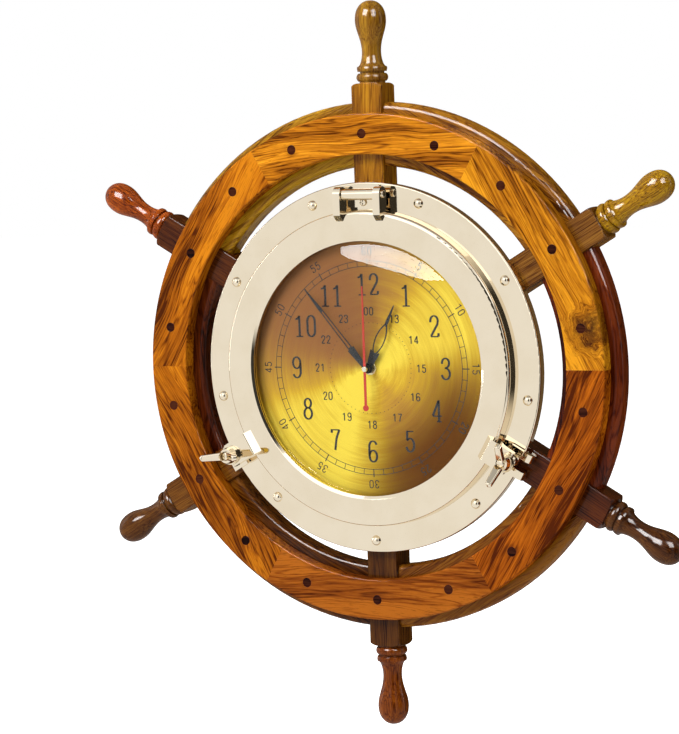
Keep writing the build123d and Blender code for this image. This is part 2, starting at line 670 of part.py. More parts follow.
def hour_hand():
    """An open leaf with a spear tip on a notched wedge."""
    wedge_face = mirrored([(1.9, 0), (4.6, 15.5), (3.4, 16.0), (0.5, 12.0)])
    spear = mirrored([(0.6, 38.0), (1.5, 43.5), (0.35, HOUR_LONG)])
    outer = leaf(4.6, 12.2, 42.5)
    inner = leaf(3.7, 14.6, 39.8)
    plate = Pos(0, 0, HOUR_HAND_Z) * extrude(wedge_face + spear + outer - inner, HAND_THICK)
    body = plate + hub(4.2, 0, HOUR_HAND_Z - 0.3, HOUR_HAND_Z + 1.3)
    body -= tube(HOUR_TUBE + FIT, 0, HOUR_HAND_Z + 1.0)
    body -= tube(MINUTE_TUBE + 0.3, 0, HOUR_HAND_Z + 2)
    return clock(HOUR_CLOCK) * largest(body)


def second_hand():
    """A thin pointer with a disc on its tail and a round cap over the shaft."""
    pointer = mirrored([(1.1, -34), (1.15, 0), (0.55, SECOND_LONG)])
    weight = Pos(0, -32.5) * Circle(2.6)
    plate = Pos(0, 0, SECOND_HAND_Z) * extrude(pointer + weight, HAND_THICK)
    cap = tube(2.4, SECOND_HAND_Z - 0.8, SECOND_HAND_Z + 1.6)
    cap = fillet(cap.edges().sort_by(Axis.Z)[-1], 0.9)
    body = plate + cap - tube(SECOND_SHAFT + FIT, 0, SECOND_HAND_Z + 0.9)
    return clock(SECOND_CLOCK) * largest(body)


# ---- quartz movement --------------------------------------------------------------------------
WALL = 1.5
CASE_FLOOR = MOVEMENT_TOP - 1.2     # inner face of the case's front wall
COVER_TOP = MOVEMENT_BOTTOM + 1.4
BATTERY_RADIUS = 7.0
BATTERY_LONG = 48.5
BATTERY_Y = -18.8
BATTERY_Z = MOVEMENT_BOTTOM + 0.6 + BATTERY_RADIUS
COVER_EDGE = -10.6                  # the cover stops here, above the battery

MOTION_MODULE = 0.40                # minute hand to hour hand
CANNON_TEETH = 10
MINUTE_WHEEL_TEETH = 30
MINUTE_PINION_TEETH = 8
HOUR_WHEEL_TEETH = 32
CENTRE_MODULE = 0.20                # third pinion to centre wheel
CENTRE_TEETH = 64
THIRD_TEETH = 60
SECONDS_MODULE = 0.30               # intermediate pinion to seconds wheel
SECONDS_TEETH = 40
ROTOR_MODULE = 0.22                 # rotor pinion to intermediate wheel
INTERMEDIATE_TEETH = 48
PINION_TEETH = 8
THIRD_DISTANCE = CENTRE_MODULE * (PINION_TEETH + CENTRE_TEETH) / 2
THIRD_MODULE = 2 * THIRD_DISTANCE / (PINION_TEETH + THIRD_TEETH)
INTERMEDIATE_DISTANCE = SECONDS_MODULE * (PINION_TEETH + SECONDS_TEETH) / 2
ROTOR_DISTANCE = ROTOR_MODULE * (PINION_TEETH + INTERMEDIATE_TEETH) / 2
MINUTE_WHEEL_DISTANCE = MOTION_MODULE * (CANNON_TEETH + MINUTE_WHEEL_TEETH) / 2


def polar(distance, degrees):
    """A point at a distance and an anticlockwise angle from the x axis."""
    turn = math.radians(degrees)
    return (distance * math.cos(turn), distance * math.sin(turn))


MINUTE_WHEEL_ANGLE = 180.0
THIRD_ANGLE = 60.0
INTERMEDIATE_ANGLE = -30.0
ROTOR_ANGLE = -10.0
MINUTE_WHEEL_AT = polar(MINUTE_WHEEL_DISTANCE, MINUTE_WHEEL_ANGLE)
THIRD_AT = polar(THIRD_DISTANCE, THIRD_ANGLE)
INTERMEDIATE_AT = polar(INTERMEDIATE_DISTANCE, INTERMEDIATE_ANGLE)
ROTOR_STEP = polar(ROTOR_DISTANCE, ROTOR_ANGLE)
ROTOR_AT = (INTERMEDIATE_AT[0] + ROTOR_STEP[0], INTERMEDIATE_AT[1] + ROTOR_STEP[1])

# heights of the gear levels inside the case, from the front of the movement to its back
HOUR_LEVEL = CASE_FLOOR - 2.6
MOTION_LEVEL = CASE_FLOOR - 4.4
CENTRE_LEVEL = CASE_FLOOR - 6.2
THIRD_LEVEL = CASE_FLOOR - 8.0
SECONDS_LEVEL = CASE_FLOOR - 9.8
INTERMEDIATE_LEVEL = CASE_FLOOR - 11.6
WHEEL_THICK = 0.6
PINION_THICK = 1.0
ARBOR_RADIUS = 0.35
SETTING_SHAFT = 1.2                 # radius of the shaft under the setting knob
KNOB_LOW = MOVEMENT_BOTTOM - 6.0


def gear(teeth, module, low, high, first_tooth):
    """A spur gear with straight-sided teeth and generous backlash.

    first_tooth is the anticlockwise angle of one tooth's middle.
    """
    pitch_radius = teeth * module / 2
    tip = pitch_radius + 0.72 * module
    root = pitch_radius - 0.95 * module
    pitch_angle = 360 / teeth
    points = []
    for tooth in range(teeth):
        middle = first_tooth + tooth * pitch_angle
        for radius, share in ((root, -0.27), (pitch_radius, -0.20), (tip, -0.10),
                              (tip, 0.10), (pitch_radius, 0.20), (root, 0.27)):
            points.append(polar(radius, middle + share * pitch_angle))
    face = make_face(Polyline(points, close=True))
    return Pos(0, 0, low) * extrude(face, high - low)


def facing_gap(teeth, angle):
    """first_tooth for a gear that must show a gap, not a tooth, at an angle."""
    return angle + 180 / teeth


def shift(point):
    """Carry a piece to a point of the movement."""
    return Pos(point[0], point[1], 0)


def movement_case():
    """The front shell of the movement: walls and front, open at the back and at the battery."""
    half = MOVEMENT_SIDE / 2
    shell = block(-half, half, -half, half, MOVEMENT_BOTTOM, MOVEMENT_TOP)
    shell = fillet(shell.edges().filter_by(Axis.Z), 3.0)
    shell -= block(-half + WALL, half - WALL, COVER_EDGE + WALL, half - WALL, 0, CASE_FLOOR)
    shell -= block(-half + WALL, half - WALL, -half + WALL, COVER_EDGE, 0, CASE_FLOOR)
    shell -= tube(BUSHING_RADIUS + FIT, 0, SPOKE_TOP)
    for point in (MINUTE_WHEEL_AT, THIRD_AT, INTERMEDIATE_AT, ROTOR_AT):
        shell -= shift(point) * tube(ARBOR_RADIUS + RUNNING, CASE_FLOOR - 0.1, CASE_FLOOR + 0.8)
    return largest(shell)


def movement_cover():
    """The back cover over the gear train, drilled for the arbors and the setting shaft."""
    half = MOVEMENT_SIDE / 2 - WALL - 0.1
    plate = block(-half, half, COVER_EDGE + WALL + 0.1, half, MOVEMENT_BOTTOM, COVER_TOP)
    plate -= shift(MINUTE_WHEEL_AT) * tube(SETTING_SHAFT + RUNNING, 0, SPOKE_TOP)
    for point in (THIRD_AT, INTERMEDIATE_AT, ROTOR_AT):
        plate -= shift(point) * tube(ARBOR_RADIUS + RUNNING, COVER_TOP - 0.9, SPOKE_TOP)
    return plate


def shaft_bushing():
    """The threaded tube through board and dial, headed inside the case."""
    head_low = CASE_FLOOR - 0.9
    thread = tube(BUSHING_RADIUS, head_low, DIAL_TOP + 2.4, HOUR_TUBE + RUNNING)
    head = tube(6.0, head_low, CASE_FLOOR, HOUR_TUBE + RUNNING)
    return thread + head


def shaft_nut():
    """The round nut that clamps the dial to the bushing."""
    nut = tube(5.8, DIAL_TOP, DIAL_TOP + 2.0, BUSHING_RADIUS + FIT)
    rims = nut.edges().filter_by(GeomType.CIRCLE).group_by(Axis.Z)[-1]
    return chamfer(rims.sort_by(SortBy.RADIUS)[-1], 0.5)


def shaft_washer():
    """The rubber washer between the movement and the board."""
    return tube(10.0, MOVEMENT_TOP, SPOKE_TOP, BUSHING_RADIUS + 0.2)


def hour_wheel():
    """The hour wheel and the tube that carries the hour hand."""
    wheel = gear(HOUR_WHEEL_TEETH, MOTION_MODULE, HOUR_LEVEL, HOUR_LEVEL + WHEEL_THICK,
                 facing_gap(HOUR_WHEEL_TEETH, MINUTE_WHEEL_ANGLE))
    body = wheel + tube(HOUR_TUBE, HOUR_LEVEL, HOUR_HAND_Z + 1.0)
    return body - tube(MINUTE_TUBE + RUNNING, 0, DIAL_TOP * 2)


def minute_arbor():
    """The tube that carries the minute hand, with the cannon pinion at its foot."""
    pinion = gear(CANNON_TEETH, MOTION_MODULE, MOTION_LEVEL - 0.2, MOTION_LEVEL + 0.8,
                  MINUTE_WHEEL_ANGLE)
    body = pinion + tube(MINUTE_TUBE, CENTRE_LEVEL - 0.6, MINUTE_HAND_Z + 0.9)
    return body - tube(SECOND_SHAFT + RUNNING, 0, DIAL_TOP * 2)


def centre_wheel():
    """The wheel that drives the minute arbor through a friction fit."""
    wheel = gear(CENTRE_TEETH, CENTRE_MODULE, CENTRE_LEVEL, CENTRE_LEVEL + WHEEL_THICK,
                 facing_gap(CENTRE_TEETH, THIRD_ANGLE))
    return wheel - tube(MINUTE_TUBE + RUNNING, 0, DIAL_TOP * 2)


def arbor_gears(point, wheel, pinion, low, high):
    """A wheel and a pinion on one thin arbor at a point."""
    return shift(point) * (wheel + pinion + tube(ARBOR_RADIUS, low, high))


def third_wheel():
    """Third wheel, driven by the seconds pinion, and its pinion in the centre wheel."""
    wheel = gear(THIRD_TEETH, THIRD_MODULE, THIRD_LEVEL, THIRD_LEVEL + WHEEL_THICK,
                 facing_gap(THIRD_TEETH, THIRD_ANGLE + 180))
    pinion = gear(PINION_TEETH, CENTRE_MODULE, CENTRE_LEVEL - 1.3, CENTRE_LEVEL + 0.8,
                  THIRD_ANGLE + 180)
    return arbor_gears(THIRD_AT, wheel, pinion, COVER_TOP - 0.8, CASE_FLOOR + 0.7)


def seconds_wheel():
    """Seconds wheel with its pinion, on the shaft that carries the second hand."""
    wheel = gear(SECONDS_TEETH, SECONDS_MODULE, SECONDS_LEVEL, SECONDS_LEVEL + WHEEL_THICK,
                 facing_gap(SECONDS_TEETH, INTERMEDIATE_ANGLE))
    pinion = gear(PINION_TEETH, THIRD_MODULE, SECONDS_LEVEL + WHEEL_THICK - 0.1, THIRD_LEVEL + 0.8,
                  THIRD_ANGLE)
    return wheel + pinion + tube(SECOND_SHAFT, SECONDS_LEVEL - 0.4, SECOND_HAND_Z + 0.9)


def intermediate_wheel():
    """Intermediate wheel, driven by the rotor, and its pinion in the seconds wheel."""
    wheel = gear(INTERMEDIATE_TEETH, ROTOR_MODULE, INTERMEDIATE_LEVEL,
                 INTERMEDIATE_LEVEL + WHEEL_THICK, facing_gap(INTERMEDIATE_TEETH, ROTOR_ANGLE))
    pinion = gear(PINION_TEETH, SECONDS_MODULE, SECONDS_LEVEL - 0.3, SECONDS_LEVEL + 0.9,
                  INTERMEDIATE_ANGLE + 180)
    return arbor_gears(INTERMEDIATE_AT, wheel, pinion, COVER_TOP - 0.8, CASE_FLOOR + 0.7)


def rotor():
    """The magnet of the stepping motor with its pinion."""
    magnet = tube(2.6, INTERMEDIATE_LEVEL + 1.6, INTERMEDIATE_LEVEL + 4.6)
    pinion = gear(PINION_TEETH, ROTOR_MODULE, INTERMEDIATE_LEVEL - 0.2, INTERMEDIATE_LEVEL + 1.7,
                  ROTOR_ANGLE + 180)
    return arbor_gears(ROTOR_AT, magnet, pinion, COVER_TOP - 0.8, CASE_FLOOR + 0.7)


def minute_wheel():
    """Minute wheel with its pinion, on the shaft that the setting knob turns."""
    wheel = gear(MINUTE_WHEEL_TEETH, MOTION_MODULE, MOTION_LEVEL, MOTION_LEVEL + WHEEL_THICK,
                 facing_gap(MINUTE_WHEEL_TEETH, 0))
    pinion = gear(MINUTE_PINION_TEETH, MOTION_MODULE, MOTION_LEVEL + WHEEL_THICK - 0.1,
                  HOUR_LEVEL + 0.8, 0)
    shaft = tube(SETTING_SHAFT, KNOB_LOW + 1.0, MOTION_LEVEL + 0.1)
    pivot = tube(ARBOR_RADIUS, HOUR_LEVEL, CASE_FLOOR + 0.7)
    return shift(MINUTE_WHEEL_AT) * (wheel + pinion + shaft + pivot)


def setting_knob():
    """The ribbed knob behind the movement that sets the hands."""
    knob = tube(6.0, KNOB_LOW, KNOB_LOW + 4.5)
    knob = chamfer(knob.edges().filter_by(GeomType.CIRCLE).group_by(Axis.Z)[0], 0.5)
    for index in range(16):
        knob -= clock(22.5 * index) * (Pos(0, 6.4, 0) * tube(0.75, 0, SPOKE_TOP))
    knob -= tube(SETTING_SHAFT + FIT, KNOB_LOW + 1.0, SPOKE_TOP)
    return shift(MINUTE_WHEEL_AT) * knob


COIL_AT = (14.0, 17.0)
COIL_Z = INTERMEDIATE_LEVEL + 2.6
STATOR_THICK = 1.0


def stator():
    """The iron plate of the motor: two legs from the coil core down to the rotor."""
    low = COIL_Z - STATOR_THICK / 2
    high = COIL_Z + STATOR_THICK / 2
    x_rotor, y_rotor = ROTOR_AT
    left, right = COIL_AT[0] - 10.5, COIL_AT[0] + 10.5
    core = block(left, right, COIL_AT[1] - 1.5, COIL_AT[1] + 1.5, low, high)
    right_leg = block(right - 4.0, right, y_rotor - 3.5, COIL_AT[1] + 1.5, low, high)
    yoke = block(x_rotor - 4.2, right, y_rotor - 4.0, y_rotor + 4.0, low, high)
    left_leg = block(x_rotor - 4.2, x_rotor - 2.0, y_rotor, COIL_AT[1] - 7.0, low, high)
    bridge = block(left, x_rotor - 2.0, COIL_AT[1] - 9.0, COIL_AT[1] - 7.0, low, high)
    left_end = block(left, left + 3.0, COIL_AT[1] - 9.0, COIL_AT[1] + 1.5, low, high)
    body = core + right_leg + yoke + left_leg + bridge + left_end
    return largest(body - shift(ROTOR_AT) * tube(3.0, 0, SPOKE_TOP))


def coil():
    """The winding around the stator's core."""
    winding = Pos(COIL_AT[0], COIL_AT[1], COIL_Z) * Rot(0, 90, 0) * Cylinder(4.0, 13.0)
    slot = block(COIL_AT[0] - 7, COIL_AT[0] + 7, COIL_AT[1] - 1.55, COIL_AT[1] + 1.55,
                 COIL_Z - STATOR_THICK / 2 - 0.05, COIL_Z + STATOR_THICK / 2 + 0.05)
    return winding - slot


def circuit_board():
    """The circuit board with its chip and the can of the quartz crystal."""
    low = CASE_FLOOR - 1.0
    board = block(-25.5, -4.0, 9.5, 25.0, low, CASE_FLOOR)
    chip = Pos(-10.0, 18.0, 0) * tube(2.6, low - 0.9, low)
    can = Pos(-18.0, 17.0, low - 1.0) * Rot(90, 0, 0) * Cylinder(1.0, 6.5)
    return Compound([board, chip, can])


def battery():
    """One AA cell lying in its bay."""
    body = Cylinder(BATTERY_RADIUS, BATTERY_LONG)
    button = Pos(0, 0, BATTERY_LONG / 2 + 0.6) * Cylinder(2.7, 1.2)
    return Pos(0, BATTERY_Y, BATTERY_Z) * Rot(0, 90, 0) * (body + button)


def battery_contacts():
    """The flat spring plates at both ends of the cell."""
    half = MOVEMENT_SIDE / 2 - WALL
    plates = []
    for x_low, x_high in ((-half, -half + 0.5), (half - 0.5, half)):
        plates.append(block(x_low, x_high, BATTERY_Y - 4, BATTERY_Y + 4, BATTERY_Z - 5, BATTERY_Z + 5))
    return Compound(plates)


# ---- write the pieces --------------------------------------------------------------------------
def all_pieces():
    """Every node with the function that makes it."""
    pieces = {}
    for index, place in enumerate(PLACE_NAMES):
        pieces["spoke_" + place] = spoke(index)
        pieces["front_facing_" + place] = front_facing(index)
    pieces["felloe_segments"] = felloe_segments()
    pieces["back_facing_segments"] = back_facing_segments()
    for side in LATCH_CLOCKS:
        pieces["swing_bolt_" + side] = swing_bolt(side)
        pieces["latch_washer_" + side] = latch_washer(side)
        pieces["wing_nut_" + side] = wing_nut(side)
    makers = [
        wheel_dowels, hanger_plate, hanger_screws, flange, flange_rivets, flange_screws,
        bolt_pivot_pins, hinge_bracket, hinge_screw, hinge_pin, door_frame, door_glass, glass_seal,
        glass_retainer, door_gasket, dial_board, board_screws, dial_plate, minute_hand, hour_hand,
        second_hand, movement_case, movement_cover, shaft_bushing, shaft_nut, shaft_washer,
        hour_wheel, minute_arbor, centre_wheel, third_wheel, seconds_wheel, intermediate_wheel,
        rotor, minute_wheel, setting_knob, stator, coil, circuit_board, battery, battery_contacts,
    ]
    for maker in makers:
        pieces[maker.__name__] = maker()
    return pieces


os.makedirs("parts", exist_ok=True)
for node, shape in all_pieces().items():
    export_step(stand_up(shape), "parts/" + node + ".step")
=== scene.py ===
import json
import math
import bmesh
import bpy
from mathutils import Matrix, Vector


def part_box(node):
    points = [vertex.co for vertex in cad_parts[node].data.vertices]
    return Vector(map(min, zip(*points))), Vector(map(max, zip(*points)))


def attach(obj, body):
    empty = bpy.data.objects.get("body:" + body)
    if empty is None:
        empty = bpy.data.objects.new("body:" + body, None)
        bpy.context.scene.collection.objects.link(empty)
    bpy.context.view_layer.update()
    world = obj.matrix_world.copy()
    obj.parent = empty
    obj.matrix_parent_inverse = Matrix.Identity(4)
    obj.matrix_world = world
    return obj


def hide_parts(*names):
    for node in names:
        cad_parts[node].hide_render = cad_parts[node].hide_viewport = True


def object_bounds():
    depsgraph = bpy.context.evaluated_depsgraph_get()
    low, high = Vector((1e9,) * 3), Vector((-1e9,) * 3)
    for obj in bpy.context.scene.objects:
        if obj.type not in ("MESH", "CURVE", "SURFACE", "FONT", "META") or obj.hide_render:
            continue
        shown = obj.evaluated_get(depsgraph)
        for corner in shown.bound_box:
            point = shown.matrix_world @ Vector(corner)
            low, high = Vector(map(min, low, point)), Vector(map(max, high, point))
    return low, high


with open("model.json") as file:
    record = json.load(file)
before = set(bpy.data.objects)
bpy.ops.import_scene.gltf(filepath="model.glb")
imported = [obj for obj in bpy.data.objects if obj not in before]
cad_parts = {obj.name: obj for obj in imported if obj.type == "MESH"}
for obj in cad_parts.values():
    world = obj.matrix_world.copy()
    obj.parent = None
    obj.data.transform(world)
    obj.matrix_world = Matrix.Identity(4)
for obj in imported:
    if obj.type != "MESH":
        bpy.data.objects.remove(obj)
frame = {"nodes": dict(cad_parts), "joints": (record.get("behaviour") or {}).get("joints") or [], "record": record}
cad_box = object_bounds()
nodes = frame["nodes"]
MM = 0.001
SIXTH = math.pi / 3


# ---- node helper ------------------------------------------------------------------------------
class Tree:
    """A node tree under construction. Inputs take a number, a tuple or another node's output."""

    def __init__(self, owner):
        """owner is a new material or world."""
        owner.use_nodes = True
        self.owner = owner
        self.tree = owner.node_tree
        self.tree.nodes.clear()

    def add(self, kind, inputs=None, **settings):
        node = self.tree.nodes.new("ShaderNode" + kind)
        for key, value in settings.items():
            setattr(node, key, value)
        for key, value in (inputs or {}).items():
            socket = node.inputs[key]
            if isinstance(value, bpy.types.NodeSocket):
                self.tree.links.new(value, socket)
            else:
                socket.default_value = value
        return node

    def math(self, operation, first, second=0.0):
        node = self.add("Math", {0: first, 1: second}, operation=operation)
        return node.outputs[0]

    def plus(self, first, second):
        return self.math("ADD", first, second)

    def times(self, first, second):
        return self.math("MULTIPLY", first, second)

    def swing(self, value, gain):
        """How far a noise lies from its middle, times a gain."""
        return self.times(self.math("SUBTRACT", value, 0.5), gain)

    def step(self, value, low, high, to_low=0.0, to_high=1.0):
        """A smooth step from to_low to to_high as value goes from low to high."""
        inputs = {"Value": value, "From Min": low, "From Max": high}
        inputs.update({"To Min": to_low, "To Max": to_high})
        return self.add("MapRange", inputs, interpolation_type="SMOOTHSTEP").outputs[0]

    def zone(self, value, rise, fall):
        """1 between a rise and a fall, each given as the values where it starts and ends."""
        return self.times(self.step(value, *rise), self.step(value, *fall, 1.0, 0.0))

    def place(self):
        return self.add("TexCoord").outputs["Object"]

    def from_axis(self):
        """The distance from the axis that the clock's hands turn on."""
        x, _, z = self.split(self.place())
        return self.math("POWER", self.plus(self.times(x, x), self.times(z, z)), 0.5)

    def clock_angle(self):
        """The angle round that axis, clockwise from the top."""
        x, _, z = self.split(self.place())
        return self.math("ARCTAN2", x, z)

    def off_glass(self):
        """1 where the ray was mirrored by the door glass, 0 elsewhere."""
        passed = self.add("LightPath").outputs["Transparent Depth"]
        return self.math("COMPARE", passed, 2.0)

    def split(self, vector):
        return self.add("SeparateXYZ", {0: vector}).outputs

    def join(self, x, y, z):
        return self.add("CombineXYZ", {0: x, 1: y, 2: z}).outputs[0]

    def vector(self, operation, first, second):
        return self.add("VectorMath", {0: first, 1: second}, operation=operation).outputs[0]

    def noise(self, vector, scale, detail, roughness=0.5):
        inputs = {"Vector": self.vector("MULTIPLY", vector, scale), "Scale": 1.0}
        inputs.update({"Detail": detail, "Roughness": roughness})
        return self.add("TexNoise", inputs).outputs["Fac"]

    def even_noise(self, scale, detail):
        """Noise that is equally fine in every direction."""
        return self.noise(self.place(), (scale, scale, scale), detail)

    def ramp(self, value, stops):
        """A colour ramp from (position, colour) stops."""
        node = self.add("ValToRGB", {0: value})
        elements = node.color_ramp.elements
        while len(elements) < len(stops):
            elements.new(0.5)
        for element, (position, colour) in zip(elements, stops):
            element.position = position
            element.color = (*colour, 1.0)
        return node.outputs[0]

    def mix(self, share, first, second):
        """Mix two colours."""
        first, second = [(*c, 1.0) if isinstance(c, tuple) else c for c in (first, second)]
        inputs = {"Factor": share, 6: first, 7: second}
        return self.add("Mix", inputs, data_type="RGBA").outputs[2]

    def bump(self, height, distance, strength=1.0, normal=None):
        inputs = {"Height": height, "Distance": distance, "Strength": strength}
        if normal is not None:
            inputs["Normal"] = normal
        return self.add("Bump", inputs).outputs[0]

    def surface(self, **inputs):
        """Finish with a Principled surface; underscores in names stand for spaces."""
        named = {key.replace("_", " "): value for key, value in inputs.items()}
        return self.finish(self.add("BsdfPrincipled", named).outputs[0])

    def finish(self, shader):
        self.add("OutputMaterial", {"Surface": shader})
        return self.owner


def material_tree(name):
    return Tree(bpy.data.materials.new(name))


# ---- wood -------------------------------------------------------------------------------------
# Noise scales per metre: along the grain, through the board and across the grain.
BEND = (8, 22, 22)
RINGS = (4.5, 45, 70)
BROAD = (3, 20, 26)
FIBRES = (26, 520, 700)
PORES = (110, 1500, 1800)
SEED_SHIFT = (1.37, 0.61, 0.83)       # metres that a piece's grain moves for each unit of seed
BEND_DEEP = 12 * MM                   # how far a bend moves the grain through the board
BEND_ACROSS = 26 * MM                 # and across the grain
RINGS_IN_NOISE = 13.0
KNOT_BEND = 1.4
KNOT_REACH = 26 * MM
KNOT_COLOUR = (0.035, 0.010, 0.003)
SHADE_STOPS = (0.06, 0.32, 0.62, 0.95)

PLACES = ["top", "upper_right", "lower_right", "bottom", "lower_left", "upper_left"]
FACING_TONES = [(0.42, 0.142, 0.006), (0.38, 0.132, 0.005), (0.33, 0.078, 0.003),
                (0.20, 0.048, 0.004), (0.30, 0.083, 0.003), (0.31, 0.086, 0.003)]
SPOKE_TONES = [(0.27, 0.105, 0.004), (0.16, 0.060, 0.007), (0.060, 0.012, 0.002),
               (0.066, 0.020, 0.002), (0.10, 0.032, 0.003), (0.062, 0.014, 0.002)]
HANDLE_TONES = [(0.20, 0.085, 0.005), (0.29, 0.140, 0.004), (0.070, 0.022, 0.004),
                (0.14, 0.030, 0.002), (0.070, 0.022, 0.003), (0.28, 0.052, 0.003)]
# the felloe at clock angle 90 has the first tone; the others each have their own
FELLOE_TONE = (0.095, 0.013, 0.002)
FELLOE_SECTORS = [(330, (0.26, 0.118, 0.005)), (30, (0.22, 0.080, 0.005)),
                  (150, (0.13, 0.040, 0.003)), (210, (0.11, 0.034, 0.003)),
                  (270, (0.070, 0.012, 0.002))]
BACK_TONE = (0.15, 0.050, 0.005)
DOWEL_TONE = (0.030, 0.006, 0.002)
BOARD_TONE = (0.42, 0.27, 0.14)
HANDLE_LONG = 68.5 * MM
BLOCK_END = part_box("spoke_top")[1].z - HANDLE_LONG
knot_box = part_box("front_facing_upper_right")
KNOT = (knot_box[1].x - 13 * MM, knot_box[0].y, 33 * MM)


def sector_turn(t, offset):
    """The clock angle of the middle of the sixth of the wheel that a point lies in."""
    from_offset = t.math("SUBTRACT", t.clock_angle(), offset)
    index = t.math("ROUND", t.math("DIVIDE", from_offset, SIXTH))
    return t.plus(t.times(index, SIXTH), offset)


def grain_place(t, clock, along, seed):
    """A point of the wood, turned so that x runs along the grain, and shifted by the seed."""
    along_x = math.pi / 2 if along == "radius" else 0.0
    turn = t.math("SUBTRACT", along_x, clock)
    turned = t.add("VectorRotate", {"Vector": t.place(), "Angle": turn}, rotation_type="Y_AXIS")
    shift = t.join(*[t.times(seed, metres) for metres in SEED_SHIFT])
    return t.vector("ADD", turned.outputs[0], shift)


def knot_nearness(t, knot):
    """1 in the middle of a knot, falling to 0 at its ragged edge."""
    offset = t.vector("SUBTRACT", t.place(), knot)
    length = t.add("VectorMath", {0: offset}, operation="LENGTH").outputs["Value"]
    length = t.plus(length, t.swing(t.even_noise(90, 3), 22 * MM))
    return t.step(length, 0.0, KNOT_REACH, 1.0, 0.0)


def dyed(t, value, mean):
    """The colours of one wood, from its darkest line to its lightest field."""
    red, green, blue = mean
    palette = [(red * share, green * share * tint, blue * share * tint) for share, tint in (
        (0.18, 0.68), (0.58, 0.86), (1.05, 1.0), (1.65, 1.18))]
    return t.ramp(value, list(zip(SHADE_STOPS, palette))), palette[0]


def wood(name, mean, clock, along, seed, gloss, knot=None, tip=None, sectors=(), figure=1.0):
    """Varnished hardwood.

    mean: its colour.
    clock: the clock angle of the piece in radians, or None for a node of six pieces centred
        between the spokes, or "spokes" for six centred on them.
    along: "radius" or "across", the way the grain runs.
    seed: a number that sets one piece's grain apart from another's.
    gloss: the weight of the varnish.
    knot: the middle of a knot, where there is one.
    tip: the colour of the turned handle, where there is one.
    sectors: (clock angle in degrees, colour) pairs for a node of six pieces that differ.
    figure: above 1, it makes the grain finer and fainter.
    """
    t = material_tree(name)
    if clock in (None, "spokes"):
        clock = sector_turn(t, SIXTH / 2 if clock is None else 0.0)
        seed = t.plus(clock, seed)
    grain = grain_place(t, clock, along, seed)
    bend = t.math("SUBTRACT", t.noise(grain, BEND, detail=1.5), 0.5)
    if knot is not None:
        near_knot = knot_nearness(t, knot)
        bend = t.plus(bend, t.times(near_knot, KNOT_BEND))
    x, y, z = t.split(grain)
    y = t.plus(t.times(y, figure), t.times(bend, BEND_DEEP))
    z = t.plus(t.times(z, figure), t.times(bend, BEND_ACROSS))
    flow = t.join(x, y, z)
    rings = t.noise(flow, RINGS, detail=2.5, roughness=0.55)
    broad = t.noise(flow, BROAD, detail=1)
    fibres = t.noise(flow, FIBRES, detail=3, roughness=0.65)
    dark_pores = t.step(t.noise(flow, PORES, detail=1), 0.60, 0.72)
    from_line = t.math("PINGPONG", t.times(rings, RINGS_IN_NOISE), 0.5)
    ring_lines = t.step(from_line, 0.0, 0.26, 1.0, 0.0)

    value = t.plus(t.swing(rings, 1.8 / figure), t.swing(broad, 1.5 / figure))
    value = t.plus(value, t.swing(fibres, 1.45))
    value = t.plus(value, 0.65)
    value = t.math("SUBTRACT", value, t.times(ring_lines, 0.34))
    colour, darkest = dyed(t, value, mean)
    for middle, tone in sectors:
        nearness = t.math("COSINE", t.math("SUBTRACT", clock, math.radians(middle)))
        colour = t.mix(t.math("GREATER_THAN", nearness, 0.9), colour, dyed(t, value, tone)[0])
    if tip is not None:
        on_handle = t.step(t.from_axis(), BLOCK_END, BLOCK_END + 1.5 * MM)
        colour = t.mix(on_handle, colour, dyed(t, value, tip)[0])
    colour = t.mix(t.times(dark_pores, 0.5), colour, darkest)
    if knot is not None:
        burr = t.step(t.even_noise(260, 4), 0.35, 0.6)
        share = t.times(near_knot, t.plus(t.times(burr, 0.5), 0.5))
        colour = t.mix(share, colour, KNOT_COLOUR)

    soft_edges = t.add("Bevel", {"Radius": 0.7 * MM}, samples=4).outputs[0]
    grain_height = t.plus(fibres, t.times(dark_pores, -0.6))
    normal = t.bump(grain_height, 0.06 * MM, 0.5, soft_edges)
    varnish_normal = t.bump(t.even_noise(26, 1), 0.5 * MM, 0.27, soft_edges)
    varnish_rough = t.step(t.even_noise(60, 3), 0.3, 0.7, 0.05, 0.14)
    return t.surface(Base_Color=colour, Roughness=t.step(fibres, 0.3, 0.8, 0.34, 0.50),
                     Normal=normal, Specular_IOR_Level=0.0, Coat_Weight=gloss, Coat_IOR=1.35,
                     Coat_Roughness=varnish_rough, Coat_Normal=varnish_normal)


# ---- metals, glass and small parts ------------------------------------------------------------
def metal(name, light, dark, rough):
    """Polished or plated metal with faint clouds, buffing lines and slow waves in its surface."""
    t = material_tree(name)
    cloud = t.even_noise(40, 3)
    buff = t.noise(t.place(), (900, 160, 160), detail=3, roughness=0.65)
    colour = t.mix(t.step(cloud, 0.3, 0.75), light, dark)
    roughness = t.plus(t.step(buff, 0.35, 0.8, rough, rough * 2.2),
                       t.step(cloud, 0.4, 0.8, 0.0, rough * 0.6))
    normal = t.bump(t.even_noise(55, 1), 0.12 * MM, 0.15)
    return t.surface(Base_Color=colour, Metallic=1.0, Roughness=roughness, Normal=normal)


# (middle in degrees, half width in degrees, gain) of each painted highlight fan on the dial
DIAL_HIGHLIGHT_FANS = ((66, 85, 0.26), (60, 38, 0.30), (222, 85, 0.24), (221, 36, 0.38), (188, 26, 0.26))
# brass colours from dark to bright; the painted highlight fans push the dial towards the bright end
DIAL_BRASS = [(0.02, (0.300, 0.125, 0.022)), (0.34, (0.450, 0.225, 0.036)),
              (0.65, (0.620, 0.370, 0.028)), (1.00, (0.860, 0.640, 0.070))]
# painted dark reflection: the copper-toned fan of the brushed brass at the upper left
DIAL_PAINTED_DARK_FAN = (0.240, 0.092, 0.040)
DIAL_SHADE = (0.105, 0.028, 0.001)


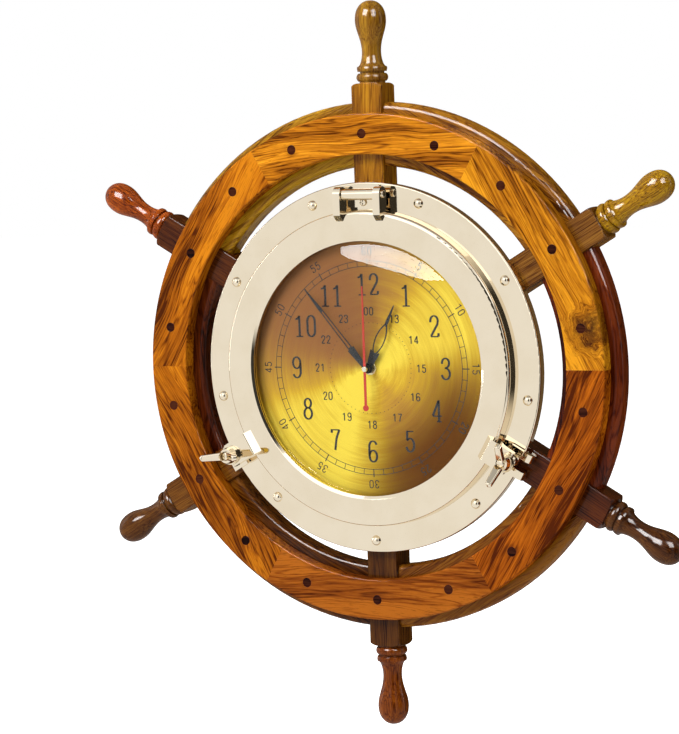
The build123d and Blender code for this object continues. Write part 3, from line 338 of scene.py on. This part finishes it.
def dial_metal():
    """Lacquered brass, brushed in rings, with painted fans of highlight and shade round the middle."""
    t = material_tree("dial_brass")
    radius = t.from_axis()
    clock = t.clock_angle()
    round_dial = t.join(radius, t.math("SINE", clock), t.math("COSINE", clock))
    lines = t.noise(round_dial, (900, 1.6, 1.6), detail=3, roughness=0.7)
    bands = t.noise(round_dial, (190, 1.2, 1.2), detail=2)
    drift = t.noise(round_dial, (9, 1.1, 1.1), detail=1)
    drifted = t.plus(clock, t.swing(drift, 0.4))

    def fan(middle, half_width):
        nearness = t.math("COSINE", t.math("SUBTRACT", drifted, math.radians(middle)))
        return t.step(nearness, math.cos(math.radians(half_width)), 1.0)

    value = 0.30
    # painted highlight fans where the brushed brass would mirror the light
    for middle, half_width, gain in DIAL_HIGHLIGHT_FANS:
        value = t.plus(t.times(fan(middle, half_width), gain), value)
    value = t.plus(value, t.swing(lines, 0.50))
    value = t.plus(value, t.swing(bands, 0.45))
    # painted highlight, brighter towards the middle of the dial
    value = t.plus(value, t.step(radius, 0.0, 44 * MM, 0.44, 0.0))
    colour = t.ramp(value, DIAL_BRASS)
    # painted dark reflection fan at the upper left of the dial
    colour = t.mix(t.times(fan(322, 75), 0.85), colour, DIAL_PAINTED_DARK_FAN)
    shaded = t.times(fan(135, 62), t.step(radius, 30 * MM, 88 * MM, 0.0, 0.95))
    colour = t.mix(shaded, colour, DIAL_SHADE)
    tangent = t.add("Tangent", direction_type="RADIAL", axis="Y").outputs[0]
    rough = t.step(lines, 0.3, 0.75, 0.30, 0.45)
    return t.surface(Base_Color=colour, Metallic=0.5, Roughness=rough, Specular_IOR_Level=0.1,
                     Anisotropic=0.6, Tangent=tangent)


def clear_glass():
    """Thin clear glass: it mirrors once, at its inner face, and lets light straight through."""
    t = material_tree("glass")
    smear = t.even_noise(14, 3)
    through = t.add("BsdfTransparent", {"Color": (0.985, 0.995, 0.99, 1.0)}).outputs[0]
    mirror = t.add("BsdfGlossy", {"Roughness": t.step(smear, 0.3, 0.8, 0.0, 0.03)}).outputs[0]
    # the Fresnel node turns its index over on an inner face, so the inverse gives that of glass
    share = t.add("Fresnel", {"IOR": 1 / 1.5}).outputs[0]
    share = t.times(share, t.add("NewGeometry").outputs["Backfacing"])
    share = t.times(share, t.step(smear, 0.2, 0.8, 0.92, 1.0))
    return t.finish(t.add("MixShader", {0: share, 1: through, 2: mirror}).outputs[0])


def dull(name, light, dark, rough, scale, depth):
    """Plastic, rubber or paint: mottled colour and a fine moulded texture."""
    t = material_tree(name)
    colour = t.mix(t.step(t.even_noise(scale, 3), 0.3, 0.7), light, dark)
    grain = t.even_noise(scale * 12, 2)
    return t.surface(Base_Color=colour, Normal=t.bump(grain, depth),
                     Roughness=t.step(grain, 0.3, 0.7, rough * 0.85, rough * 1.15))


def red_hand():
    """Red paint with a bright metal cap in the middle."""
    t = material_tree("red_metal")
    cap = t.step(t.from_axis(), 2.4 * MM, 2.5 * MM, 1.0, 0.0)
    grain = t.even_noise(700, 2)
    paint = t.mix(t.step(grain, 0.3, 0.7), (0.50, 0.028, 0.012), (0.40, 0.018, 0.008))
    return t.surface(Base_Color=t.mix(cap, paint, (0.90, 0.84, 0.70)), Metallic=cap,
                     Roughness=t.plus(t.times(cap, -0.28), 0.38),
                     Normal=t.bump(grain, 0.01 * MM))


def coil_wire():
    """Enamelled copper wire wound round a core that lies along x."""
    t = material_tree("copper_wire")
    wave = t.add("TexWave", {"Vector": t.place(), "Scale": 900.0, "Distortion": 1.5})
    turns = wave.outputs["Fac"]
    colour = t.mix(turns, (0.30, 0.10, 0.03), (0.70, 0.30, 0.12))
    return t.surface(Base_Color=colour, Metallic=0.8, Roughness=t.step(turns, 0, 1, 0.3, 0.45),
                     Normal=t.bump(turns, 0.1 * MM))


def battery_sleeve():
    """A dry cell's foil: a dark body with one copper-coloured end and bare ends."""
    t = material_tree("battery_sleeve")
    x, _, _ = t.split(t.place())
    low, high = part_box("battery")
    scuffs = t.noise(t.place(), (30, 500, 500), detail=3)
    band = t.step(x, low.x + 33 * MM, low.x + 33.3 * MM)
    body = t.mix(t.step(scuffs, 0.3, 0.7), (0.022, 0.024, 0.030), (0.045, 0.047, 0.055))
    colour = t.mix(band, body, (0.62, 0.30, 0.12))
    bare = t.math("MAXIMUM", t.step(x, high.x - 1.8 * MM, high.x - 1.5 * MM),
                  t.step(x, low.x + 0.8 * MM, low.x + 0.5 * MM))
    colour = t.mix(bare, colour, (0.70, 0.70, 0.69))
    return t.surface(Base_Color=colour, Metallic=t.math("MAXIMUM", band, bare),
                     Roughness=t.step(scuffs, 0.3, 0.8, 0.25, 0.4),
                     Normal=t.bump(scuffs, 0.02 * MM))


def slot_materials():
    """The material of each slot of the record; segments and spokes of the wheel have their own."""
    return {
        "felloe_wood": wood("felloe_wood", FELLOE_TONE, None, "across", 4.0, 0.4,
                            sectors=FELLOE_SECTORS),
        "dark_wood": wood("dark_wood", DOWEL_TONE, 0.0, "across", 7.0, 0.2),
        "board_wood": wood("board_wood", BOARD_TONE, 0.0, "across", 2.0, 0.0),
        "polished_brass": metal("polished_brass", (0.865, 0.765, 0.60), (0.83, 0.725, 0.555),
                                0.035),
        "plated_brass": metal("plated_brass", (0.88, 0.78, 0.50), (0.78, 0.66, 0.38), 0.16),
        "steel": metal("steel", (0.66, 0.66, 0.67), (0.50, 0.50, 0.52), 0.28),
        "glass": clear_glass(),
        "rubber": dull("rubber", (0.020, 0.020, 0.021), (0.035, 0.034, 0.034), 0.7, 90,
                       0.03 * MM),
        "dial_brass": dial_metal(),
        "black_metal": dull("black_metal", (0.010, 0.010, 0.012), (0.020, 0.020, 0.022), 0.3,
                            120, 0.01 * MM),
        "red_metal": red_hand(),
        "movement_plastic": dull("movement_plastic", (0.018, 0.018, 0.019),
                                 (0.028, 0.028, 0.030), 0.42, 150, 0.02 * MM),
        "gear_plastic": dull("gear_plastic", (0.80, 0.79, 0.74), (0.72, 0.70, 0.64), 0.4, 200,
                             0.01 * MM),
        "copper_wire": coil_wire(),
        "circuit": dull("circuit", (0.03, 0.16, 0.05), (0.015, 0.085, 0.03), 0.35, 500,
                        0.02 * MM),
        "battery_sleeve": battery_sleeve(),
    }


def wheel_materials():
    """A material for each segment and spoke of the wheel, by node."""
    by_node = {"back_facing_segments": wood("back_facing_wood", BACK_TONE, "spokes", "across",
                                            9.0, 0.3)}
    for index, place in enumerate(PLACES):
        clock = SIXTH * index
        by_node["front_facing_" + place] = wood(
            "facing_wood_" + place, FACING_TONES[index], clock, "across", 1.0 + index, 0.2,
            knot=KNOT if place == "upper_right" else None)
        by_node["spoke_" + place] = wood(
            "spoke_wood_" + place, SPOKE_TONES[index], clock, "radius", 11.0 + index, 0.5,
            tip=HANDLE_TONES[index], figure=2.0)
    return by_node


by_slot = slot_materials()
by_node = wheel_materials()
slots = {part["node"]: part["material_slot"] for part in frame["record"]["subparts"]}
for name, node in nodes.items():
    node.data.materials.clear()
    node.data.materials.append(by_node.get(name) or by_slot[slots[name]])


# ---- mesh helpers -----------------------------------------------------------------------------
def piece(name, builder, body, slot):
    """A new object from a bmesh, riding on a CAD body."""
    mesh = bpy.data.meshes.new(name)
    bmesh.ops.recalc_face_normals(builder, faces=builder.faces)
    builder.to_mesh(mesh)
    builder.free()
    made = bpy.data.objects.new(name, mesh)
    bpy.context.scene.collection.objects.link(made)
    made.data.materials.append(by_slot[slot])
    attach(made, body)
    return made


def round_row(builder, place, height, radius_at, steps):
    """Vertices round z at one height, carried to their place; radius_at takes the turn."""
    row = []
    for index in range(steps):
        turn = 2 * math.pi * index / steps
        radius = radius_at(turn)
        row.append(builder.verts.new(place @ Vector(
            (radius * math.cos(turn), radius * math.sin(turn), height))))
    return row


def bridge(builder, first, second):
    """Faces between two closed rows of vertices."""
    for index in range(len(first)):
        after = (index + 1) % len(first)
        builder.faces.new((first[index], first[after], second[after], second[index]))


def lathe(builder, outline, place, steps=48):
    """Spin a closed outline of (radius, height) points round z, then carry it to its place."""
    rows = [round_row(builder, place, height, lambda turn: radius, steps)
            for radius, height in outline]
    for first, second in zip(rows, rows[1:] + rows[:1]):
        bridge(builder, first, second)


# ---- threaded swing bolts ---------------------------------------------------------------------
PITCH = 1.25 * MM
ROWS_PER_TURN = 8
STEPS_ROUND = 40
THREAD_ROOT = 3.3 * MM
THREAD_CREST = 3.98 * MM
NECK = THREAD_ROOT + (THREAD_CREST - THREAD_ROOT) * 0.55
SHANK_FOOT = 3.0 * MM         # the shank starts inside the eye
THREAD_FOOT = 7.0 * MM        # a plain neck lies between the eye and the thread
THREAD_RUN_OUT = 0.8 * MM     # from the end of the thread to the tip
EYE_BORE = 2.08 * MM
EYE_HALF = 4.4 * MM
EYE_SOFT = 0.5 * MM


def thread_radius(height, turn, top):
    """The radius of a triangular screw thread that runs out at both ends."""
    if height < THREAD_FOOT:
        return NECK
    phase = (height / PITCH - turn / (2 * math.pi)) % 1.0
    crest = 1.0 - abs(2.0 * phase - 1.0)
    fade = min(1.0, (height - THREAD_FOOT) / PITCH, max(0.0, (top - height) / PITCH))
    return THREAD_ROOT + (THREAD_CREST - THREAD_ROOT) * crest * fade


def swing_bolt(side):
    """An eye bolt with a real screw thread, standing for the CAD's plain one."""
    low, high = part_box("swing_bolt_" + side)
    joint = next(j for j in frame["joints"] if j["name"] == "bolt_swing_" + side)
    pivot = Vector(joint["pos_m"])
    axis = Vector(joint["axis"])
    outward = Vector((0, -1, 0))
    upright = Matrix((axis, axis.cross(outward), outward)).transposed().to_4x4()
    upright.translation = pivot
    top = pivot.y - low.y
    eye = high.y - pivot.y
    builder = bmesh.new()
    lathe(builder, [(EYE_BORE, -EYE_HALF), (eye - EYE_SOFT, -EYE_HALF),
                    (eye, -EYE_HALF + EYE_SOFT), (eye, EYE_HALF - EYE_SOFT),
                    (eye - EYE_SOFT, EYE_HALF), (EYE_BORE, EYE_HALF)],
          upright @ Matrix.Rotation(math.pi / 2, 4, "Y"))
    rows = []
    thread_rows = int((top - SHANK_FOOT - THREAD_RUN_OUT) / PITCH * ROWS_PER_TURN)
    for index in range(thread_rows):
        height = SHANK_FOOT + PITCH / ROWS_PER_TURN * index
        rows.append(round_row(builder, upright, height, lambda turn: thread_radius(
            height, turn, top - THREAD_RUN_OUT), STEPS_ROUND))
    for radius, height in ((THREAD_ROOT * 0.98, top - 0.5 * MM), (THREAD_ROOT * 0.80, top)):
        rows.append(round_row(builder, upright, height, lambda turn: radius, STEPS_ROUND))
    for first, second in zip(rows, rows[1:]):
        bridge(builder, first, second)
    builder.faces.new(rows[0])
    builder.faces.new(rows[-1])
    bolt = piece("threaded_bolt_" + side, builder, "bolt_" + side, "polished_brass")
    bolt.data.shade_smooth()
    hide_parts("swing_bolt_" + side)


for side in ("right", "left"):
    swing_bolt(side)


# ---- dial printing ----------------------------------------------------------------------------
INK = 0.06 * MM
DIAL_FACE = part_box("dial_plate")[0].y
# radii of the circles that the printing stands on, from the middle outwards
DOT_CIRCLE = 38 * MM
LATE_CIRCLE = 47.5 * MM
HOUR_CIRCLE = 70 * MM
TRACK_INNER, TRACK_OUTER = 85.0 * MM, 89.6 * MM
FIVE_TICK_END = 91.5 * MM
MINUTE_CIRCLE = 97.5 * MM
HOUR_HIGH = 18.6 * MM
SMALL_HIGH = 6.8 * MM


def arc(x, y, across, up, start, end, count=14):
    """Points on an ellipse between two anticlockwise angles in degrees."""
    points = []
    for index in range(count + 1):
        turn = math.radians(start + (end - start) * index / count)
        points.append((x + across * math.cos(turn), y + up * math.sin(turn)))
    return points


# Each digit is a list of (points, closed, is_serif) strokes in a box 0.44 wide and 1 high.
DIGITS = {
    "0": [(arc(.22, .72, .17, .25, 0, 180) + arc(.22, .28, .17, .25, 180, 360), True, False)],
    "1": [([(.24, .02), (.24, .97)], False, False),
          ([(.24, .95), (.17, .84), (.06, .80)], False, False),
          ([(.08, .025), (.40, .025)], False, True)],
    "2": [(arc(.215, .74, .165, .225, 195, 0) + [(.36, .60), (.07, .07)], False, False),
          ([(.045, .045), (.39, .045)], False, False), ([(.385, .05), (.40, .20)], False, True)],
    "3": [(arc(.21, .755, .155, .21, 190, -80) + [(.17, .53)], False, False),
          ([(.17, .53)] + arc(.21, .275, .175, .25, 85, -170), False, False)],
    "4": [([(.30, .02), (.30, .98)], False, False), ([(.30, .96), (.03, .29)], False, False),
          ([(.02, .27), (.43, .27)], False, False), ([(.20, .025), (.41, .025)], False, True)],
    "5": [([(.085, .94), (.37, .94)], False, False), ([(.095, .96), (.085, .54)], False, False),
          (arc(.21, .325, .175, .30, 140, -165), False, False)],
    "6": [(arc(.22, .29, .17, .26, 0, 360)[:-1], True, False),
          ([(.05, .30), (.05, .68)] + arc(.22, .72, .17, .25, 180, 20), False, False)],
    "7": [([(.03, .94), (.40, .94)], False, False), ([(.045, .97), (.045, .80)], False, True),
          ([(.39, .95), (.25, .55), (.18, .02)], False, False)],
    "8": [(arc(.22, .755, .145, .215, 0, 360)[:-1], True, False),
          (arc(.22, .285, .175, .255, 0, 360)[:-1], True, False)],
}
DIGITS["9"] = [([(.44 - x, 1 - y) for x, y in points], closed, serif)
               for points, closed, serif in DIGITS["6"]]


def neighbours(points, index, closed):
    """The points before and after one of a stroke's; at an open end, that point itself."""
    last = len(points) - 1
    before = points[index - 1] if closed or index else points[index]
    after = points[(index + 1) % len(points)] if closed or index < last else points[index]
    return before, after


def ribbon(builder, points, closed, thick, thin):
    """A flat stroke of ink through (x, z, upright) points on the dial.

    It is thick where upright is 1 and thin where it is 0.
    """
    rows = []
    for index, (x, z, upright) in enumerate(points):
        before, after = neighbours(points, index, closed)
        along = Vector((after[0] - before[0], after[1] - before[1])).normalized()
        aside = Vector((-along.y, along.x)) * (thin + (thick - thin) * upright) / 2
        left, right = (x + aside.x, z + aside.y), (x - aside.x, z - aside.y)
        rows.append([builder.verts.new((px, py, pz)) for (px, pz), py in (
            (left, DIAL_FACE - INK), (right, DIAL_FACE - INK),
            (right, DIAL_FACE), (left, DIAL_FACE))])
    for first, second in zip(rows, rows[1:] + rows[:1] if closed else rows[1:]):
        bridge(builder, first, second)
    if not closed:
        builder.faces.new(rows[0])
        builder.faces.new(rows[-1])


def print_number(builder, number, radius, clock, height, lean, thick, thin, wide, serifs=False):
    """Print a number with its middle on a circle; clock and lean are clockwise degrees."""
    turn, tilt = math.radians(clock), math.radians(lean)
    centre = Vector((radius * math.sin(turn), radius * math.cos(turn)))
    right = Vector((math.cos(tilt), -math.sin(tilt)))
    up = Vector((math.sin(tilt), math.cos(tilt)))
    advance = 0.56 * wide * height
    start = -advance * (len(number) - 1) / 2
    for index, digit in enumerate(number):
        for points, closed, serif in DIGITS[digit]:
            if serif and not serifs:
                continue
            placed = []
            for order, (x, y) in enumerate(points):
                before, after = neighbours(points, order, closed)
                run = Vector((after[0] - before[0], after[1] - before[1])).normalized()
                spot = centre + right * (start + advance * index + (x - 0.22) * wide * height)
                spot += up * (y - 0.5) * height
                placed.append((spot.x, spot.y, abs(run.y)))
            ribbon(builder, placed, closed, thick, thin)


def ring_line(builder, radius, width, steps=240):
    """A thin ring of ink round the dial."""
    turns = [2 * math.pi * index / steps for index in range(steps)]
    points = [(radius * math.sin(turn), radius * math.cos(turn), 1) for turn in turns]
    ribbon(builder, points, True, width, width)


def tick(builder, clock, inner, outer, width):
    """A short line of ink along the radius."""
    turn = math.radians(clock)
    points = [(r * math.sin(turn), r * math.cos(turn), 1) for r in (inner, outer)]
    ribbon(builder, points, False, width, width)


def dot(builder, clock, radius, half, width):
    """A dot of ink on a circle."""
    turn = math.radians(clock)
    points = [(radius * math.sin(turn) + aside, radius * math.cos(turn), 1)
              for aside in (-half, half)]
    ribbon(builder, points, False, width, width)


def dial_printing():
    """Hours, the second half of the day, the minute track and its numbers, all in black ink."""
    builder = bmesh.new()
    for hour in range(1, 13):
        clock = 30 * hour
        print_number(builder, str(hour), HOUR_CIRCLE, clock, HOUR_HIGH, 0, 2.1 * MM, 1.05 * MM,
                     1.12, serifs=True)
        late = "00" if hour == 12 else str(hour + 12)
        print_number(builder, late, LATE_CIRCLE, clock, SMALL_HIGH, 0, 1.00 * MM, 0.85 * MM, 1.3)
        print_number(builder, str(5 * hour), MINUTE_CIRCLE, clock, SMALL_HIGH, clock, 0.80 * MM,
                     0.72 * MM, 1.35)
    for radius in (TRACK_INNER, TRACK_OUTER):
        ring_line(builder, radius, 0.48 * MM)
    for minute in range(60):
        end, width = (FIVE_TICK_END, 0.85 * MM) if minute % 5 == 0 else (TRACK_OUTER, 0.5 * MM)
        tick(builder, 6 * minute, TRACK_INNER, end, width)
        dot(builder, 6 * minute, DOT_CIRCLE, 0.32 * MM, 0.6 * MM)
    piece("dial_printing", builder, "clock", "black_metal")


dial_printing()


# ---- studio -----------------------------------------------------------------------------------
# Azimuth 0 is straight in front of the clock, and a quarter turn is on the viewer's right.
FLOOR_DROP = 0.20             # metres from the clock's lowest point
FLOOR_REACH = 14.0            # metres from the middle of the floor to each side
# Each dark patch of the room starts over one span of azimuths and ends over another, in radians.
PATCH_BY_CAMERA = (0.22, 0.30), (0.66, 0.76)
PATCH_BEYOND = (0.98, 1.08), (1.60, 1.75)
PATCH_HEIGHTS = (-0.40, -0.20), (0.40, 0.60)    # the z of the direction that a ray takes
WHITE_WALLS = (0.95, 0.945, 0.93)
DARK_WALLS = (0.015, 0.013, 0.010)
BEHIND_WALLS = (0.13, 0.080, 0.036)


def sheet(name, wide, tall, height, material):
    """A flat rectangle that faces up, unless it is turned later."""
    builder = bmesh.new()
    builder.faces.new([builder.verts.new((x * wide / 2, y * tall / 2, height))
                       for x, y in ((-1, -1), (1, -1), (1, 1), (-1, 1))])
    mesh = bpy.data.meshes.new(name)
    builder.to_mesh(mesh)
    builder.free()
    mesh.materials.append(material)
    return bpy.data.objects.new(name, mesh)


def studio_room():
    """A white room. Only mirrors see its dark patches, and matt surfaces see it dimmer."""
    world = bpy.data.worlds.new("studio")
    bpy.context.scene.world = world
    room = Tree(world)
    x, y, z = room.split(room.add("TexCoord").outputs["Generated"])
    azimuth = room.math("ARCTAN2", x, room.times(y, -1.0))
    by_camera = room.zone(azimuth, *PATCH_BY_CAMERA)
    beyond = room.zone(azimuth, *PATCH_BEYOND)
    level = room.zone(z, *PATCH_HEIGHTS)
    sides = room.times(room.math("MAXIMUM", by_camera, beyond), level)
    above = room.times(room.step(z, 0.80, 0.92), 0.5)
    shade = room.math("MAXIMUM", room.times(sides, 0.97), above)
    mirrored = room.mix(shade, WHITE_WALLS, DARK_WALLS)
    behind = room.times(room.step(y, 0.45, 0.70), room.step(z, -0.6, -0.3))
    mirrored = room.mix(behind, mirrored, BEHIND_WALLS)
    mirrored = room.mix(room.times(room.off_glass(), 0.75), mirrored, (0.0, 0.0, 0.0))
    seen_by = room.add("LightPath").outputs
    colour = room.mix(seen_by["Is Glossy Ray"], (0.43, 0.43, 0.44), mirrored)
    colour = room.mix(seen_by["Is Camera Ray"], colour, (1.0, 1.0, 1.0))
    background = room.add("Background", {"Color": colour, "Strength": 1.0})
    room.add("OutputWorld", {"Surface": background.outputs[0]})


def studio_floor():
    """A plain pale floor; a faint glow keeps it as pale as the room behind it."""
    t = material_tree("floor")
    grain = t.even_noise(3, 3)
    tone = t.mix(grain, (0.90, 0.90, 0.90), (0.86, 0.86, 0.86))
    matt = t.add("BsdfDiffuse", {"Color": tone}).outputs[0]
    seen = t.add("LightPath").outputs["Is Camera Ray"]
    glow = t.add("Emission", {"Color": (1, 1, 1, 1), "Strength": t.times(seen, 0.75)}).outputs[0]
    material = t.finish(t.add("AddShader", {0: matt, 1: glow}).outputs[0])
    low, _ = cad_box
    floor = sheet("floor", 2 * FLOOR_REACH, 2 * FLOOR_REACH, low.z - FLOOR_DROP, material)
    bpy.context.scene.collection.objects.link(floor)
    floor.visible_glossy = False


def aim(made, azimuth, elevation, distance, lean=0.0):
    """Place a light or a card so that it looks at the middle of the clock; all in degrees."""
    turn, rise = math.radians(azimuth), math.radians(elevation)
    away = Vector((math.sin(turn) * math.cos(rise), -math.cos(turn) * math.cos(rise),
                   math.sin(rise)))
    facing = away.to_track_quat("Z", "Y").to_matrix().to_4x4()
    pose = facing @ Matrix.Rotation(math.radians(lean), 4, "Z")
    pose.translation = away * distance
    made.matrix_world = pose
    bpy.context.scene.collection.objects.link(made)


def soft_light(name, azimuth, elevation, distance, wide, tall, power):
    """A rectangular light for matt surfaces; cards stand in for it in mirrors."""
    light = bpy.data.lights.new(name, "AREA")
    light.shape = "RECTANGLE"
    light.size, light.size_y = wide, tall
    light.energy = power
    made = bpy.data.objects.new(name, light)
    made.visible_glossy = False
    aim(made, azimuth, elevation, distance)
    return made


def varnished_nodes():
    """A collection of every CAD node made of wood."""
    varnished = bpy.data.collections.new("varnished")
    for node in nodes.values():
        if "wood" in node.data.materials[0].name:
            varnished.objects.link(node)
    return varnished


def gleam(name, azimuth, elevation, distance, wide, tall, power, varnished):
    """A light that shows only as a highlight in the varnish of the wood."""
    made = soft_light(name, azimuth, elevation, distance, wide, tall, power)
    made.visible_glossy = True
    made.visible_diffuse = made.visible_transmission = False
    made.light_linking.receiver_collection = varnished


def card(name, azimuth, elevation, distance, wide, tall, strength, lean=0.0, in_glass=0.0):
    """A glowing card that only mirrors and varnish show; in_glass is added in the door glass."""
    t = material_tree(name)
    fade = t.noise(t.place(), (1.5, 1.5, 1.5), detail=1)
    strength = t.plus(t.times(t.off_glass(), in_glass), strength)
    strength = t.times(strength, t.step(fade, 0.2, 0.8, 0.9, 1.1))
    glow = t.add("Emission", {"Strength": strength}).outputs[0]
    made = sheet(name, wide, tall, 0.0, t.finish(glow))
    made.visible_camera = made.visible_diffuse = made.visible_shadow = False
    made.visible_transmission = False
    aim(made, azimuth, elevation, distance, lean)


def lights():
    """Each has a name, azimuth, elevation, distance, width, height, and power or strength."""
    soft_light("key", -20, 38, 2.6, 1.4, 1.4, 82)
    soft_light("right_fill", 70, 15, 2.8, 1.2, 1.6, 5)
    soft_light("back_fill", 200, 30, 3.0, 1.6, 1.6, 25)
    card("window", -11, 33, 3.0, 2.1, 2.03, 1.8, lean=-13, in_glass=16)
    card("lug_glint", 56, 35, 2.7, 0.7, 0.7, 1.9)
    card("left_strip", -82, 12, 2.6, 0.14, 1.6, 8)
    card("right_strip", 112, 14, 2.6, 0.12, 1.6, 8)
    varnished = varnished_nodes()
    gleam("gleam_left", -16, 36, 2.6, 1.5, 1.4, 280, varnished)
    gleam("gleam_right", 54, 34, 2.6, 1.3, 1.4, 235, varnished)


# ---- camera -----------------------------------------------------------------------------------
CAMERA_AZIMUTH = 28.2         # degrees to the right of the clock's front
CAMERA_ELEVATION = 4.85
CAMERA_ROLL = -2.02
CAMERA_LENS = 142.4           # millimetres, on a sensor 36 wide
CAMERA_DISTANCE = 2.4179      # metres from the middle of the wheel's front face
CAMERA_LEFT = 0.0248
CAMERA_UP = 0.0011


def camera():
    """The camera stands to the right of the clock, a little above it, and leans slightly."""
    azimuth, elevation = math.radians(CAMERA_AZIMUTH), math.radians(CAMERA_ELEVATION)
    front = Vector((0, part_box("front_facing_top")[0].y, 0))
    forward = Vector((-math.sin(azimuth) * math.cos(elevation),
                      math.cos(azimuth) * math.cos(elevation), -math.sin(elevation)))
    right = forward.cross(Vector((0, 0, 1))).normalized()
    up = right.cross(forward)
    roll = math.radians(CAMERA_ROLL)
    right, up = (right * math.cos(roll) + up * math.sin(roll),
                 up * math.cos(roll) - right * math.sin(roll))
    data = bpy.data.cameras.new("camera")
    data.lens = CAMERA_LENS
    data.sensor_width = 36.0
    made = bpy.data.objects.new("camera", data)
    pose = Matrix((right, up, -forward)).transposed().to_4x4()
    pose.translation = front - right * CAMERA_LEFT + up * CAMERA_UP - forward * CAMERA_DISTANCE
    made.matrix_world = pose
    bpy.context.scene.collection.objects.link(made)
    bpy.context.scene.camera = made


studio_room()
studio_floor()
lights()
camera()
bpy.context.scene.view_settings.view_transform = "Standard"
